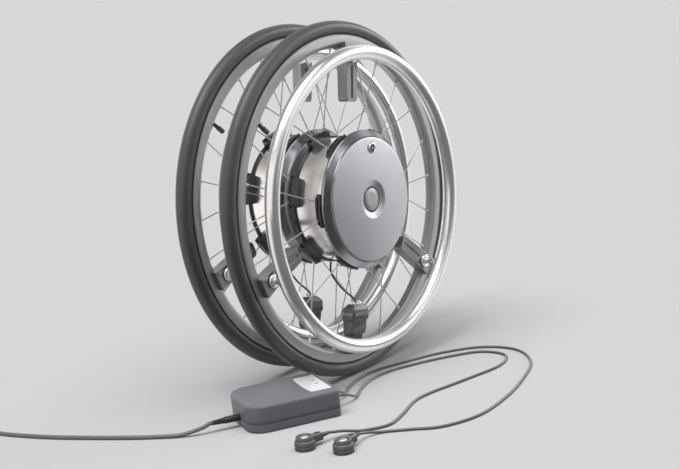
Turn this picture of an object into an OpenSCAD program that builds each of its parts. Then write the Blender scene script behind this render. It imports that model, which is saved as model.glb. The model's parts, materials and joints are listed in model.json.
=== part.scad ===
// Wheelchair power assist: a pair of hub motor drive wheels with sprung push rims, and their charger.
// Millimetres, +Z up, floor at z = 0. The axles lie along Y and the hub covers face -Y.
// A wheel is drawn flat, with its plane at z = 0 and its cover towards +z, and is then stood up.

/* [Layout] */
// Distance between the planes of the two wheels
wheel_gap = 115; // [114:1:170]
// Sideways shift of the rear wheel
wheel_shift = 22; // [0:0.5:60]
// Turn of both wheels at rest, clockwise seen from the cover, in degrees
wheel_turn = 8.5; // [0:0.5:30]
// Middle of the charger, along X from the front axle
charger_x = -243; // [-330:1:-240]
// Middle of the charger, along Y from the front wheel's plane
charger_y = -33; // [-120:1:-32]
// Turn of the charger on the floor, in degrees
charger_turn = -30; // [-60:1:0]

/* [Tyre and rim] */
// Outside diameter of the tyre
tyre_d = 590; // [560:1:640]
// Width of the tyre
tyre_w = 25; // [23:0.5:32]
// Thickness of the tyre's carcass
tyre_wall = 3; // [2:0.25:4]
// Height of the tyre above the rim's edge
tyre_rise = 24; // [20:0.5:30]
// Radial depth of the rim
rim_depth = 21; // [18:0.5:26]
// Outside width of the rim
rim_w = 21.6; // [19:0.2:23]
// Wall of the rim's section
rim_wall = 1.8; // [1.4:0.1:2.4]
// Depth of the well that the tyre sits in
rim_well = 8; // [6:0.5:10]
// Width of the rim's rounded inner nose
rim_nose = 13; // [10:0.5:16]
// Diameter of the valve stem
valve_d = 6.4; // [5:0.1:8]
// Length of the valve stem inside the rim
valve_l = 30; // [20:1:40]

/* [Spokes] */
// Diameter of a spoke
spoke_d = 2; // [1.6:0.1:2.6]
// Angle from the middle of a pad to the rim end of its spokes, in degrees
spoke_lean = 15; // [13:0.5:16]
// Half the angle between the two spokes of a pad, in degrees
spoke_spread = 7; // [5:0.5:9]
// Diameter of a nipple's shank
nipple_d = 4; // [3.4:0.1:5]
// Length of a nipple below the rim
nipple_l = 9; // [6:0.5:12]

/* [Push rim] */
// Diameter of the push rim at the middle of its tube
push_rim_d = 481; // [466:1:486]
// Diameter of the push rim's tube
push_tube_d = 24; // [18:0.5:26]
// Wall of that tube
push_wall = 1.8; // [1.2:0.1:3]
// Distance from the wheel's plane to the push rim
push_offset = 51; // [48:0.5:58]
// Swing of the push rim each way, in degrees
push_swing = 2; // [1:0.25:2.5]
// Diameter of the stud that joins the push rim to a bracket
stud_d = 8; // [6:0.5:9]

/* [Hub] */
// Distance from the wheel's plane back to the hub's inner flange
hub_back = 24; // [20:0.5:28]
// Diameter of the polished drum
drum_d = 204; // [196:1:212]
// Length of the drum between its pads
drum_l = 48; // [46:0.5:54]
// Wall of the drum
drum_wall = 3; // [2:0.25:4]
// Thickness of a spoke flange
flange_t = 3; // [2:0.25:4]
// Diameter of a spoke flange between its pads
flange_d = 211; // [208:1:216]
// Width of a spoke pad, along the axle
pad_w = 9; // [7:0.5:12]
// Diameter over the spoke pads
pad_d = 234; // [230:1:240]
// Angle that a pad spans, in degrees
pad_span = 27; // [22:1:30]
// Diameter of the bevelled ring round the cover
ring_d = 228; // [220:1:232]
// Length of the bevelled ring
ring_l = 14; // [12:0.5:18]
// Diameter of the cover
cover_d = 204; // [200:1:210]
// Height of the cover's edge above the ring
cover_edge = 1.5; // [1:0.25:3]
// Rise of the cover's dome
cover_rise = 4.7; // [3:0.1:7]
// Wall of the cover
cover_wall = 3; // [2:0.25:4]
// Diameter of the cup round the release button
cup_d = 61; // [56:0.5:66]
// Depth of that cup
cup_depth = 4.5; // [3.5:0.25:5]
// Distance of the charge socket from the axle
socket_r = 84; // [70:1:88]
// Diameter of the charge socket
socket_d = 18; // [14:0.5:20]

/* [Axle] */
// Diameter of the quick release axle
axle_d = 12.7; // [12:0.1:13]
// Distance from the wheel's plane back to the axle's tip
axle_tip = 51; // [50:0.5:53]
// Diameter of the spindle round the axle
spindle_d = 25; // [24:0.5:28]
// Outside diameter of a hub bearing
bearing_d = 47; // [44:0.5:52]
// Width of a hub bearing
bearing_w = 12; // [10:0.5:12.5]
// Diameter of the release button
button_d = 40; // [34:0.5:44]
// Travel of the release button
button_travel = 4; // [3:0.25:4.5]
// Diameter of a locking ball
ball_d = 5.2; // [4.8:0.1:5.6]
// Travel of a locking ball
ball_travel = 1.2; // [0.8:0.1:1.3]

/* [Charger] */
// Length of the charger's case
charger_l = 147; // [130:1:170]
// Width of the charger's case
charger_w = 118; // [90:1:120]
// Height of the charger's case
charger_h = 42.6; // [38:0.2:52]
// Wall of the case
charger_wall = 2.6; // [2:0.1:3.4]
// Height of the parting line
parting_h = 13; // [11:0.5:16]
// Radius of the corners at the mains end
round_corner = 30; // [20:1:36]
// Radius of the corners at the lead end
small_corner = 8; // [7:0.5:14]
// Radius of the top edge
top_edge = 5; // [3:0.5:6]
// Diameter of the mains lead
mains_d = 6.5; // [5:0.1:7]
// Diameter of a charging lead
lead_d = 4.4; // [4:0.1:5]
// Diameter of a charge plug
plug_d = 30; // [26:0.5:32]
// Height of a charge plug
plug_h = 20; // [18:0.5:24]

/* [Hidden] */
$fn = 96;

// Overrun of every cut
over = 1;
// Clearance of a moving fit, of a fixed fit and of a loose one
running = 0.05;
fixed_gap = 0.1;
loose = 0.3;

// Rim and tyre
tyre_r = tyre_d / 2;
rim_edge_r = tyre_r - tyre_rise;
rim_in_r = rim_edge_r - rim_depth;
rim_flare = rim_depth * 0.3;
well_r = rim_edge_r - rim_well;
tyre_mid_r = tyre_r - tyre_w / 2;
bead_w = rim_w - 2 * rim_wall - 2 * fixed_gap;
tube_r = tyre_w / 2 - tyre_wall - loose;
valve_angle = 150;
valve_cap_d = valve_d * 1.3;
valve_cap_l = valve_l * 0.4;

// Spokes, in pairs from pads that sit on the two flanges, those of the outer flange a little further round
pad_count = 12;
pad_pitch_angle = 720 / pad_count;
pad_stagger_angle = pad_pitch_angle / 4;
first_pad_angle = 52.5;
inner_flange_z = -hub_back;
inside_z = inner_flange_z + pad_w;
outer_flange_z = inside_z + drum_l;
ring_z = outer_flange_z + pad_w;
drum_r = drum_d / 2;
drum_in_r = drum_r - drum_wall;
drum_back_z = inner_flange_z + flange_t;
drum_front_z = ring_z - flange_t;
pad_r = pad_d / 2;
pad_groove = 3;
pad_rail_w = pad_w * 0.38;
short_rail_share = 0.82;
flange_r = flange_d / 2;
spoke_hub_r = pad_r - (pad_r - flange_r) / 2;
spoke_root = 4;
spoke_tip = 1;
nipple_seat = 3.8;
nipple_head_d = nipple_d * 1.5;
nipple_head_l = 2.4;

// Hub front
ring_r = ring_d / 2;
cover_r = cover_d / 2;
shield_wall = 4;
ledge_w = 4;
ledge_depth = 6.5;
ring_front = ring_z + ring_l;
ledge_z = ring_front - ledge_depth;
cover_edge_z = ring_front + cover_edge;
cover_top = cover_edge_z + cover_rise;
cup_r = cup_d / 2;
cup_floor = cover_top - cup_depth;
button_r = button_d / 2;
button_sink = 3.7;
button_h = 4;
button_gap = 0.4;
cup_ledge = 1.2;
socket_ring_d = socket_d * 0.72;
socket_pin_d = socket_d * 0.24;
socket_depth = 2.2;
socket_l = 7;

// Axle, spindle and bearings
axle_r = axle_d / 2;
axle_bore_r = axle_r * 0.56;
axle_head = 16.5;
axle_end = outer_flange_z + axle_head;
tip_chamfer = 1.2;
spindle_r = spindle_d / 2;
bearing_r = bearing_d / 2;
bearing_proud = 1;
bearing_back_z = inner_flange_z - bearing_proud;
bearing_front_z = axle_end - bearing_w;
boss_wall = 7;
boss_r = bearing_r + boss_wall;
nose_step = 3;
nose_r = bearing_r - nose_step;
nose_l = 2.5;
dog_count = 6;
dog_w = 8;
carrier_r = 55;
carrier_inset = 6;
carrier_z = inside_z + carrier_inset;
carrier_t = 5;

// Locking balls and plunger
ball_r = ball_d / 2;
ball_inset = 6.5;
ball_z = ball_inset - axle_tip;
ball_out = 1.15;
ball_mid_r = axle_r + ball_out - ball_r;
ball_slack = 0.25;
plunger_r = ball_mid_r - ball_r - ball_slack;
plunger_neck_r = plunger_r - ball_travel;
plunger_tip_l = 2.2;
plunger_neck_l = 4;
plunger_rod_r = axle_bore_r - fixed_gap;

// Motor and battery
stator_r = 92.8;
stator_yoke = 12;
stator_l = 10;
stator_inset = 4;
stator_z = inside_z + stator_inset;
tooth_count = 18;
tooth_w = 8;
tooth_tip_w = 24;
tooth_tip_t = 3;
winding_w = 15;
winding_over = 2;
magnet_t = 5;
magnet_l = 14;
magnet_inset = 2;
magnet_z = inside_z + magnet_inset;
cell_d = 18.4;
cell_l = 65;
cell_count = 6;
cell_ring_r = 75;
cell_pitch = 19;
cell_inset = 10.7;
holder_in_r = 36;
holder_inset = 17;
holder_z = inside_z + holder_inset;
cell_z = holder_z + cell_inset;
holder_l = 40;

// Back plate
plate_r = drum_in_r - fixed_gap;
plate_t = 4;
plate_rim_w = 13;
rib_count = 12;
rib_t = 3;
rib_h = 4;

// Push rim brackets and sensor box
push_r = push_rim_d / 2;
push_tube_r = push_tube_d / 2;
bracket_count = 3;
bracket_reach = 89;
bracket_end_r = rim_in_r - bracket_reach;
bracket_end_w = 27;
bracket_mid_w = 30;
bracket_rim_w = 34;
bracket_lap = 9;
bracket_top_r = rim_in_r + bracket_lap;
bracket_face = 20;
bracket_round = 6;
bracket_groove_w = 5;
bracket_groove_depth = 2.5;
stud_inset = 4.5;
stud_r = push_r - stud_inset;
stud_depth = 11;
washer_d = 23;
washer_t = 5;
shank_d = 10.6;
stud_hole_d = 5;
slot_half = push_swing + asin((stud_d / 2 + loose) / stud_r);
sensor_angle = 270;
sensor_reach = 76;
sensor_end_r = rim_in_r - sensor_reach;
sensor_l = bracket_top_r - sensor_end_r;
sensor_w = 43;
sensor_d = 26;
sensor_back = 8;
sensor_front = sensor_back + sensor_d;
sensor_shares = [
  [0, 0.72, 0.5, 0.25], [0.1, 1, 0.96, 0.02], [0.3, 1, 1, 0], [0.32, 0.9, 0.92, 0],
  [0.58, 0.85, 0.84, 0], [0.6, 0.75, 0.66, 0], [1, 0.66, 0.5, 0]
];
rib_bump_d = 3;
rib_bump_count = 7;
rib_bump_share = 0.22;
rib_bump_h = 1;
rib_bump_pitch = 5;
sensor_screw_d = 6;
sensor_screw_h = 1.8;
slice_t = 0.25;
cable_d = 3.4;
cable_shares = [[0, 1, 0], [0.3, 0.95, 0.05], [0.65, 0.5, 0.5], [0.88, 0.05, 0.95], [1, 0, 1]];
cable_sweep_angle = -5;

// Charger, its board, its transformer and its inlet
corners = [
  [-1, -1, round_corner],
  [-1, 1, round_corner],
  [1, -1, small_corner],
  [1, 1, small_corner]
];
draft = 2;
edge_steps = 4;
boss_d = 8;
screw_d = 3;
screw_head_d = 6;
screw_head_h = 2;
screw_l = 18;
boss_inset = 17;
board_l = 96;
board_w = 74;
board_t = 1.6;
board_z = 8;
post_d = 7;
core_x = -18;
core_l = 56;
core_w = 46;
core_h = 26;
wrap_l = 34;
wrap_w = 56;
wrap_h = 22;
capacitor_d = 16;
capacitor_h = 19;
inlet_z = 15;
inlet_d = 15;
inlet_l = 16;
inlet_flange_d = 20;
inlet_flange_t = 2;
connector_d = 10.6;
connector_in = 12;
connector_l = 24;
relief_l = 20;
relief_d = 8.4;
relief_ring_d = 10;
relief_ring_l = 2.4;
lead_z = 20;
lead_a_y = -14;
lead_b_y = 10;
lead_in = 2;

// Charge plugs and mains plug
plug_step_d = plug_d * 0.84;
plug_step_h = plug_h * 0.34;
plug_well_d = plug_d * 0.6;
plug_well_h = plug_h * 0.2;
plug_pin_d = plug_d * 0.3;
plug_neck_w = 13;
plug_neck_h = 11;
plug_neck_l = 15;
plug_panel_share = 0.6;
plug_panel_depth = 0.8;
plug_relief_l = 13;
plug_relief_d = 7;
plug_a_pos = [-346, -158];
plug_a_turn = -14;
plug_b_pos = [-335, -219];
plug_b_turn = 6;
plug_lead_z = 12;
mains_plug_l = 36;
mains_plug_w = 34;
mains_plug_t = 15;
mains_plug_nose_w = 28;
mains_relief_l = 26;
mains_relief_d = 10;
mains_pin_d = 4;
mains_pin_l = 19;
mains_pin_gap = 18.6;

// Cords: points of their routes, from the front wheel's foot, and the coil of the mains lead
cord_sides = 8;
cord_steps = 2;
mains_route = [
  [-343.46, 25, 15], [-348.2, 27.75, 14.6], [-360, 36, 10], [-383, 64, 3.3], [-412, 120, 3.3],
  [-440, 190, 3.3], [-464, 260, 3.3], [-480, 330, 3.3], [-484, 370, 3.3], [-484, 403.4, 3.3]
];
lead_a_route = [
  [-188, -80.9, 20], [-165, -93, 17], [-134, -89, 5], [-98, -71, 2.2], [-50, -56, 2.2], [0, -58, 2.2],
  [50, -78, 2.2], [100, -106, 2.2], [146, -146, 2.2], [142, -198, 2.2], [86, -220, 2.2], [0, -206, 2.2],
  [-100, -188, 2.2], [-176, -208, 2.2], [-222, -216, 2.2], [-256, -194, 2.2], [-280, -177, 7.5],
  [-303.6, -168.57, 12]
];
lead_b_route = [
  [-176, -60.1, 20], [-153, -71, 16], [-128, -63, 5], [-95, -45, 2.2], [-50, -32, 2.2], [0, -33, 2.2],
  [60, -56, 2.2], [120, -84, 2.2], [172, -134, 2.2], [176, -200, 2.2], [124, -258, 2.2], [40, -292, 2.2],
  [-50, -314, 2.2], [-136, -320, 2.2], [-198, -296, 2.2], [-226, -258, 2.2], [-250, -226, 2.2],
  [-271, -215, 7], [-291.5, -214.43, 12]
];
coil_mid = [-530, 410];
coil_r = 46;
coil_turns = 2.4375;
coil_side_gap = 0.8;
coil_pitch = mains_d + coil_side_gap;
coil_lift_gap = 0.6;
coil_rise = mains_d + coil_lift_gap;
coil_rings = 24;
coil_sides = 6;
coil_floor = 3.3;
coil_tail = 32;

// The origin is the middle of the box of wheels and charger, on the floor
function charger_reach(axis, way) = max([for (c = corners)
  let (u = c[0] * (charger_l / 2 - c[2]), v = c[1] * (charger_w / 2 - c[2]))
  way * (axis == 0
    ? charger_x + u * cos(charger_turn) - v * sin(charger_turn)
    : charger_y + u * sin(charger_turn) + v * cos(charger_turn)) + c[2]]);
box_x = (wheel_shift + tyre_r - charger_reach(0, -1)) / 2;
box_y = (wheel_gap + axle_tip - charger_reach(1, -1)) / 2;

// Places

module on_floor() {
  translate([-box_x, -box_y, 0]) children();
}

module stand(w) {
  on_floor() translate([w * wheel_shift, w * wheel_gap, tyre_r]) rotate([90, 0, 0]) children();
}

module wheel(w) {
  stand(w) rotate([0, 0, -wheel_turn]) children();
}

module both() {
  for (w = [0, 1]) stand(w) children();
}

module at_charger() {
  on_floor() translate([charger_x, charger_y, 0]) rotate([0, 0, charger_turn]) children();
}

module along(p, q) {
  d = q - p;
  translate(p) rotate([0, acos(d.z / norm(d)), atan2(d.y, d.x)]) children();
}

// A place on a wheel with +y pointing out along one of its radii
module radius_at(angle) {
  rotate([0, 0, angle - 90]) children();
}

module turned() {
  rotate_extrude($fn = 144) children();
}

module ring(inner, outer, z, h) {
  turned() translate([inner, z]) square([outer - inner, h]);
}

function polar(r, a, z) = [r * cos(a), r * sin(a), z];

// Spokes run from the pads to the rim

function pad_angle(i) = first_pad_angle + floor(i / 2) * pad_pitch_angle + (i % 2) * pad_stagger_angle;
function pad_z(i) = (i % 2 == 0 ? inner_flange_z : outer_flange_z) + pad_w / 2;
function spoke_start(i, s) = polar(spoke_hub_r, pad_angle(i) + s * spoke_spread, pad_z(i));
function spoke_end(i, s) = polar(rim_in_r, pad_angle(i) + s * spoke_lean, 0);
function spoke_run(i, s) = norm(spoke_end(i, s) - spoke_start(i, s));

module each_spoke() {
  for (i = [0 : pad_count - 1])
    for (s = [-1, 1])
      along(spoke_start(i, s), spoke_end(i, s)) {
        $run = spoke_run(i, s);
        children();
      }
}

// Tyre, tube and rim

module tyre(w) {
  color("dimgray") wheel(w) turned() difference() {
    union() {
      translate([tyre_mid_r, 0]) circle(d = tyre_w);
      translate([well_r + fixed_gap, -bead_w / 2]) square([tyre_mid_r - well_r, bead_w]);
    }
    translate([tyre_mid_r, 0]) circle(d = tyre_w - 2 * tyre_wall);
    translate([well_r - over, -bead_w / 2 + tyre_wall])
      square([tyre_mid_r - well_r, bead_w - 2 * tyre_wall]);
  }
}

module inner_tube(w) {
  color("black") wheel(w) {
    turned() translate([tyre_mid_r, 0]) circle(r = tube_r);
    rotate([0, 0, valve_angle]) rotate([0, 90, 0]) {
      translate([0, 0, rim_in_r - valve_l]) cylinder(d = valve_d, h = tyre_mid_r - rim_in_r + valve_l);
      translate([0, 0, rim_in_r - valve_l]) cylinder(d = valve_cap_d, h = valve_cap_l);
    }
  }
}

module rim_section(grow) {
  polygon([
    [rim_in_r - grow, -rim_nose / 2], [rim_in_r - grow, rim_nose / 2],
    [rim_in_r + rim_flare, rim_w / 2 + grow], [rim_edge_r, rim_w / 2 + grow],
    [rim_edge_r, -rim_w / 2 - grow], [rim_in_r + rim_flare, -rim_w / 2 - grow]
  ]);
}

module rim(w) {
  chamber_r = rim_in_r + rim_flare + rim_wall;
  chamber_half = rim_w / 2 - 2 * rim_wall;
  color("gray") wheel(w) difference() {
    turned() difference() {
      rim_section(0);
      translate([well_r, -rim_w / 2 + rim_wall]) square([rim_well + over, rim_w - 2 * rim_wall]);
      polygon([
        [rim_in_r + rim_wall, -rim_nose / 2 + rim_wall], [rim_in_r + rim_wall, rim_nose / 2 - rim_wall],
        [chamber_r, chamber_half], [well_r - rim_wall, chamber_half],
        [well_r - rim_wall, -chamber_half], [chamber_r, -chamber_half]
      ]);
    }
    each_spoke() translate([0, 0, $run - nipple_l / 2])
      cylinder(d = nipple_d + 2 * fixed_gap, h = nipple_l, $fn = 24);
    rotate([0, 0, valve_angle]) rotate([0, 90, 0])
      translate([0, 0, rim_in_r - over]) cylinder(d = valve_d + 2 * loose, h = rim_depth);
  }
}

module spokes(w) {
  color("silver") wheel(w) each_spoke()
    translate([0, 0, -spoke_root]) cylinder(d = spoke_d, h = $run + spoke_root + spoke_tip, $fn = 24);
}

module nipples(w) {
  color("gainsboro") wheel(w) each_spoke() difference() {
    union() {
      translate([0, 0, $run - nipple_l]) cylinder(d = nipple_d, h = nipple_l + nipple_seat, $fn = 24);
      translate([0, 0, $run + nipple_seat]) cylinder(d = nipple_head_d, h = nipple_head_l, $fn = 24);
    }
    translate([0, 0, $run - nipple_l - over])
      cylinder(d = spoke_d + 2 * running, h = nipple_l + spoke_tip + over + loose, $fn = 24);
  }
}

// Hub

function polar2(r, a) = [r * cos(a), r * sin(a)];

// A piece of a ring, as wide as the pad or a share of that
module pad_piece(i, inner, outer, z, h, span) {
  intersection() {
    ring(inner, outer, z, h);
    rotate([0, 0, pad_angle(i)]) linear_extrude(3 * pad_r, center = true)
      polygon([[0, 0], polar2(2 * pad_r, -span / 2), polar2(2 * pad_r, span / 2)]);
  }
}

// A pad lies on the drum and has two rails, the one further in shorter, with the spokes between them
module pad(i) {
  foot_r = drum_r + running;
  back = pad_z(i) - pad_w / 2;
  front = back + pad_w - pad_rail_w;
  pad_piece(i, foot_r, pad_r - pad_groove, back, pad_w, pad_span);
  pad_piece(i, foot_r, pad_r, back, pad_rail_w, pad_span * (i % 2 == 0 ? 1 : short_rail_share));
  pad_piece(i, foot_r, pad_r, front, pad_rail_w, pad_span * (i % 2 == 0 ? short_rail_share : 1));
}

module flange(side) {
  ring(drum_in_r, flange_r, side == 0 ? inner_flange_z : drum_front_z, flange_t);
  for (i = [side : 2 : pad_count - 1]) pad(i);
}

module spoke_flanges(w) {
  color([0.13, 0.13, 0.14]) wheel(w) difference() {
    union() {
      flange(0);
      flange(1);
    }
    each_spoke() translate([0, 0, -spoke_root - fixed_gap])
      cylinder(d = spoke_d + 2 * fixed_gap, h = 2 * (pad_r - flange_r), $fn = 24);
  }
}

module drum(w) {
  color("gainsboro") wheel(w) ring(drum_in_r, drum_r, drum_back_z, drum_front_z - drum_back_z);
}

module back_plate(w) {
  plate_z = inside_z - plate_t;
  rim_in = plate_r - plate_rim_w;
  seat_r = bearing_r + running;
  color("darkgray") wheel(w) {
    turned() polygon([
      [seat_r, bearing_back_z], [boss_r, bearing_back_z], [boss_r, plate_z], [rim_in, plate_z],
      [rim_in, inner_flange_z], [plate_r, inner_flange_z], [plate_r, inside_z], [boss_r, inside_z],
      [boss_r, bearing_back_z + bearing_w], [seat_r, bearing_back_z + bearing_w]
    ]);
    for (k = [0 : rib_count - 1])
      rotate([0, 0, k * 360 / rib_count]) translate([boss_r - over, -rib_t / 2, plate_z - rib_h])
        cube([rim_in - boss_r + 2 * over, rib_t, rib_h + over]);
  }
}

module end_shield(w) {
  web_z = ring_z + shield_wall;
  lip_r = cover_r + fixed_gap;
  boss_z = bearing_front_z - loose;
  color("gray") wheel(w) turned() polygon([
    [bearing_r + running, boss_z], [boss_r, boss_z], [boss_r, ring_z], [ring_r, ring_z],
    [ring_r, ring_z + shield_wall], [lip_r + shield_wall / 4, ring_front], [lip_r, ring_front],
    [lip_r, ledge_z], [lip_r - ledge_w, ledge_z], [lip_r - ledge_w, web_z], [boss_r, web_z],
    [boss_r, axle_end + loose], [bearing_r + running, axle_end + loose]
  ]);
}

function dome_z(r) = cover_top - cover_rise * pow(r / cover_r, 2);

module hub_cover(w) {
  arc_steps = 12;
  lip_in = cup_r + cover_wall;
  hole_r = button_r + button_gap;
  floor_r = hole_r + cup_ledge;
  cup_back = cup_floor - cover_wall;
  face = [for (k = [0 : arc_steps]) let (r = cup_r + (cover_r - cup_r) * k / arc_steps) [r, dome_z(r)]];
  back = [for (k = [arc_steps : -1 : 0])
    let (r = lip_in + (cover_r - cover_wall - lip_in) * k / arc_steps) [r, dome_z(r) - cover_wall]];
  color("silver") wheel(w) difference() {
    turned() polygon(concat(
      face, [[cover_r, ledge_z], [cover_r - cover_wall, ledge_z]], back,
      [[lip_in, cup_back], [hole_r, cup_back], [hole_r, cup_floor], [floor_r, cup_floor]]));
    translate([0, socket_r, ledge_z]) cylinder(d = socket_d + 2 * fixed_gap, h = cover_top);
  }
}

module charge_socket(w) {
  top = dome_z(socket_r + socket_d / 2);
  color("gainsboro") wheel(w) translate([0, socket_r, top - socket_l]) rotate_extrude() difference() {
    square([socket_d / 2, socket_l]);
    translate([socket_pin_d / 2, socket_l - socket_depth])
      square([(socket_ring_d - socket_pin_d) / 2, socket_depth + over]);
  }
}

module magnet_ring(w) {
  color("dimgray") wheel(w) ring(drum_in_r - magnet_t, drum_in_r - fixed_gap, magnet_z, magnet_l);
}

module each_cell() {
  for (k = [0 : cell_count - 1])
    for (layer = [0, 1])
      rotate([0, 0, k * 360 / cell_count]) translate([cell_ring_r, 0, cell_z + layer * cell_pitch]) {
        $way = layer * 2 - 1;
        children();
      }
}

module battery_pack(w) {
  pocket = cell_d + 2 * fixed_gap;
  color("seagreen") wheel(w) {
    difference() {
      ring(holder_in_r, drum_in_r - fixed_gap, holder_z, holder_l);
      each_cell() {
        rotate([90, 0, 0]) cylinder(d = pocket, h = cell_l + 2 * fixed_gap, center = true);
        translate([0, 0, $way * cell_d / 2])
          cube([pocket, cell_l + 2 * fixed_gap, cell_d], center = true);
      }
    }
    each_cell() rotate([90, 0, 0]) cylinder(d = cell_d, h = cell_l, center = true);
  }
}

// Brackets that carry the push rim, and the sensor

module bracket_outline() {
  end_y = bracket_end_r + bracket_round;
  half = bracket_end_w / 2 - bracket_round;
  polygon([
    [-bracket_end_w / 2, end_y], [bracket_end_w / 2, end_y], [bracket_mid_w / 2, stud_r],
    [bracket_rim_w / 2, bracket_top_r], [-bracket_rim_w / 2, bracket_top_r], [-bracket_mid_w / 2, stud_r]
  ]);
  for (s = [-1, 1]) translate([s * half, end_y]) circle(r = bracket_round);
  translate([-half, bracket_end_r]) square([2 * half, 2 * bracket_round]);
}

module stud_slot() {
  intersection() {
    ring(stud_r - stud_d / 2 - loose, stud_r + stud_d / 2 + loose, bracket_face - stud_depth - loose,
      stud_depth + loose + over);
    linear_extrude(2 * bracket_face)
      polygon([[0, 0], polar2(2 * stud_r, 90 - slot_half), polar2(2 * stud_r, 90 + slot_half)]);
  }
}

module rim_brackets(w) {
  color("slategray") wheel(w) difference() {
    for (k = [0 : bracket_count - 1]) radius_at(90 + k * 360 / bracket_count) difference() {
      linear_extrude(bracket_face) bracket_outline();
      stud_slot();
      translate([-bracket_groove_w / 2, bracket_end_r + bracket_round, bracket_face - bracket_groove_depth])
        cube([bracket_groove_w, stud_r - washer_d - bracket_end_r, bracket_groove_depth + over]);
    }
    turned() rim_section(fixed_gap);
  }
}

// A thin slice of the sensor box, from a row of shares: place, width, depth and lift
module sensor_slice(s) {
  slice_r = sensor_end_r + (sensor_l - slice_t) * s[0];
  translate([-sensor_w * s[1] / 2, slice_r, sensor_back + sensor_d * s[3]])
    cube([sensor_w * s[1], slice_t, sensor_d * s[2]]);
}

module sensor_box(w) {
  color([0.2, 0.2, 0.22]) wheel(w) difference() {
    radius_at(sensor_angle) {
      for (k = [0 : len(sensor_shares) - 2]) hull() {
        sensor_slice(sensor_shares[k]);
        sensor_slice(sensor_shares[k + 1]);
      }
      for (k = [0 : rib_bump_count - 1])
        translate([(k - (rib_bump_count - 1) / 2) * rib_bump_pitch,
          sensor_end_r + sensor_l * rib_bump_share, sensor_front - over])
          cylinder(d = rib_bump_d, h = rib_bump_h + over, $fn = 24);
      for (s = [-1, 1])
        translate([s * sensor_w / 5, sensor_end_r + over, sensor_front - 2 * sensor_screw_d])
          rotate([90, 0, 0]) cylinder(d = sensor_screw_d, h = sensor_screw_h + over, $fn = 24);
    }
    turned() rim_section(fixed_gap);
  }
}

// Cable from the inner flange to the end of the sensor box, on a smooth curve
function cable_point(s) = polar(
  flange_r + loose + s[0] * (sensor_end_r - flange_r - 2 * loose),
  90 + s[1] * cable_sweep_angle,
  (inner_flange_z + flange_t / 2) * (1 - s[2]) + (sensor_back + sensor_d / 2) * s[2]);

module sensor_cable(w) {
  color("black") wheel(w) radius_at(sensor_angle)
    tube(smooth([for (s = cable_shares) cable_point(s)], 2 * cord_steps), cable_d / 2, cord_sides);
}

// Push rim

module push_rim(w) {
  color("gainsboro") wheel(w) difference() {
    turned() translate([push_r, push_offset]) difference() {
      circle(r = push_tube_r);
      circle(r = push_tube_r - push_wall);
    }
    for (k = [0 : bracket_count - 1]) radius_at(90 + k * 360 / bracket_count)
      translate([0, stud_r, push_offset - push_tube_r - over])
        cylinder(d = stud_hole_d, h = push_tube_r, $fn = 24);
  }
}

module push_rim_studs(w) {
  color("silver") wheel(w) difference() {
    for (k = [0 : bracket_count - 1]) radius_at(90 + k * 360 / bracket_count) translate([0, stud_r, 0]) {
      translate([0, 0, bracket_face - stud_depth]) cylinder(d = stud_d, h = stud_depth + washer_t);
      translate([0, 0, bracket_face + loose]) cylinder(d = washer_d, h = washer_t);
      translate([0, 0, bracket_face + washer_t])
        cylinder(d = shank_d, h = push_offset - bracket_face - washer_t);
    }
    turned() translate([push_r, push_offset]) circle(r = push_tube_r + fixed_gap);
  }
}

// Axle, button and balls

module release_button(w) {
  face = cover_top - button_sink;
  heel = ball_z - plunger_tip_l;
  taper = ball_z + button_travel;
  color("silver") stand(w) turned() polygon([
    [0, heel], [plunger_r, heel], [plunger_r, ball_z], [plunger_neck_r, taper],
    [plunger_neck_r, taper + plunger_neck_l], [plunger_rod_r, taper + plunger_neck_l + plunger_rod_r],
    [plunger_rod_r, face - button_h], [button_r, face - button_h],
    [button_r, face - button_h / 6], [button_r - button_h / 6, face], [0, face]
  ]);
}

module lock_ball(w, way) {
  color("lightgray") stand(w) translate([0, way * ball_mid_r, ball_z]) sphere(r = ball_r);
}

module axles() {
  color("silver") both() difference() {
    turned() polygon([
      [axle_bore_r, -axle_tip], [axle_r - tip_chamfer, -axle_tip], [axle_r, tip_chamfer - axle_tip],
      [axle_r, axle_end], [axle_bore_r, axle_end]
    ]);
    translate([0, 0, ball_z]) rotate([90, 0, 0])
      cylinder(r = ball_r + running, h = 2 * axle_d, center = true);
  }
}

module spindles() {
  bore = axle_r + running;
  nose_z = bearing_back_z - nose_l;
  color("gray") both() difference() {
    turned() polygon([
      [bore, nose_z], [nose_r, nose_z], [nose_r, bearing_back_z], [spindle_r, bearing_back_z],
      [spindle_r, carrier_z], [carrier_r, carrier_z], [carrier_r, carrier_z + carrier_t],
      [spindle_r, carrier_z + carrier_t], [spindle_r, axle_end], [bore, axle_end]
    ]);
    for (k = [0 : dog_count - 1])
      rotate([0, 0, k * 360 / dog_count]) translate([spindle_r, -dog_w / 2, nose_z - over])
        cube([nose_r, dog_w, nose_l + over - fixed_gap]);
  }
}

module stators() {
  in_r = carrier_r + running;
  winding_r = in_r + stator_yoke + tooth_tip_t;
  color("peru") both() {
    ring(in_r, in_r + stator_yoke, stator_z, stator_l);
    intersection() {
      ring(in_r + stator_yoke - over, stator_r, stator_z - winding_over, stator_l + 2 * winding_over);
      for (k = [0 : tooth_count - 1]) rotate([0, 0, k * 360 / tooth_count]) {
        translate([in_r, -tooth_w / 2, stator_z]) cube([stator_r, tooth_w, stator_l]);
        translate([stator_r - tooth_tip_t, -tooth_tip_w / 2, stator_z])
          cube([stator_r, tooth_tip_w, stator_l]);
        translate([winding_r, -winding_w / 2, stator_z - winding_over])
          cube([stator_r - 2 * tooth_tip_t - winding_r, winding_w, stator_l + 2 * winding_over]);
      }
    }
  }
}

module bearings() {
  color("lightgray") both()
    for (z = [bearing_back_z, bearing_front_z]) ring(spindle_r + running, bearing_r, z, bearing_w);
}

// Charger

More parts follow.
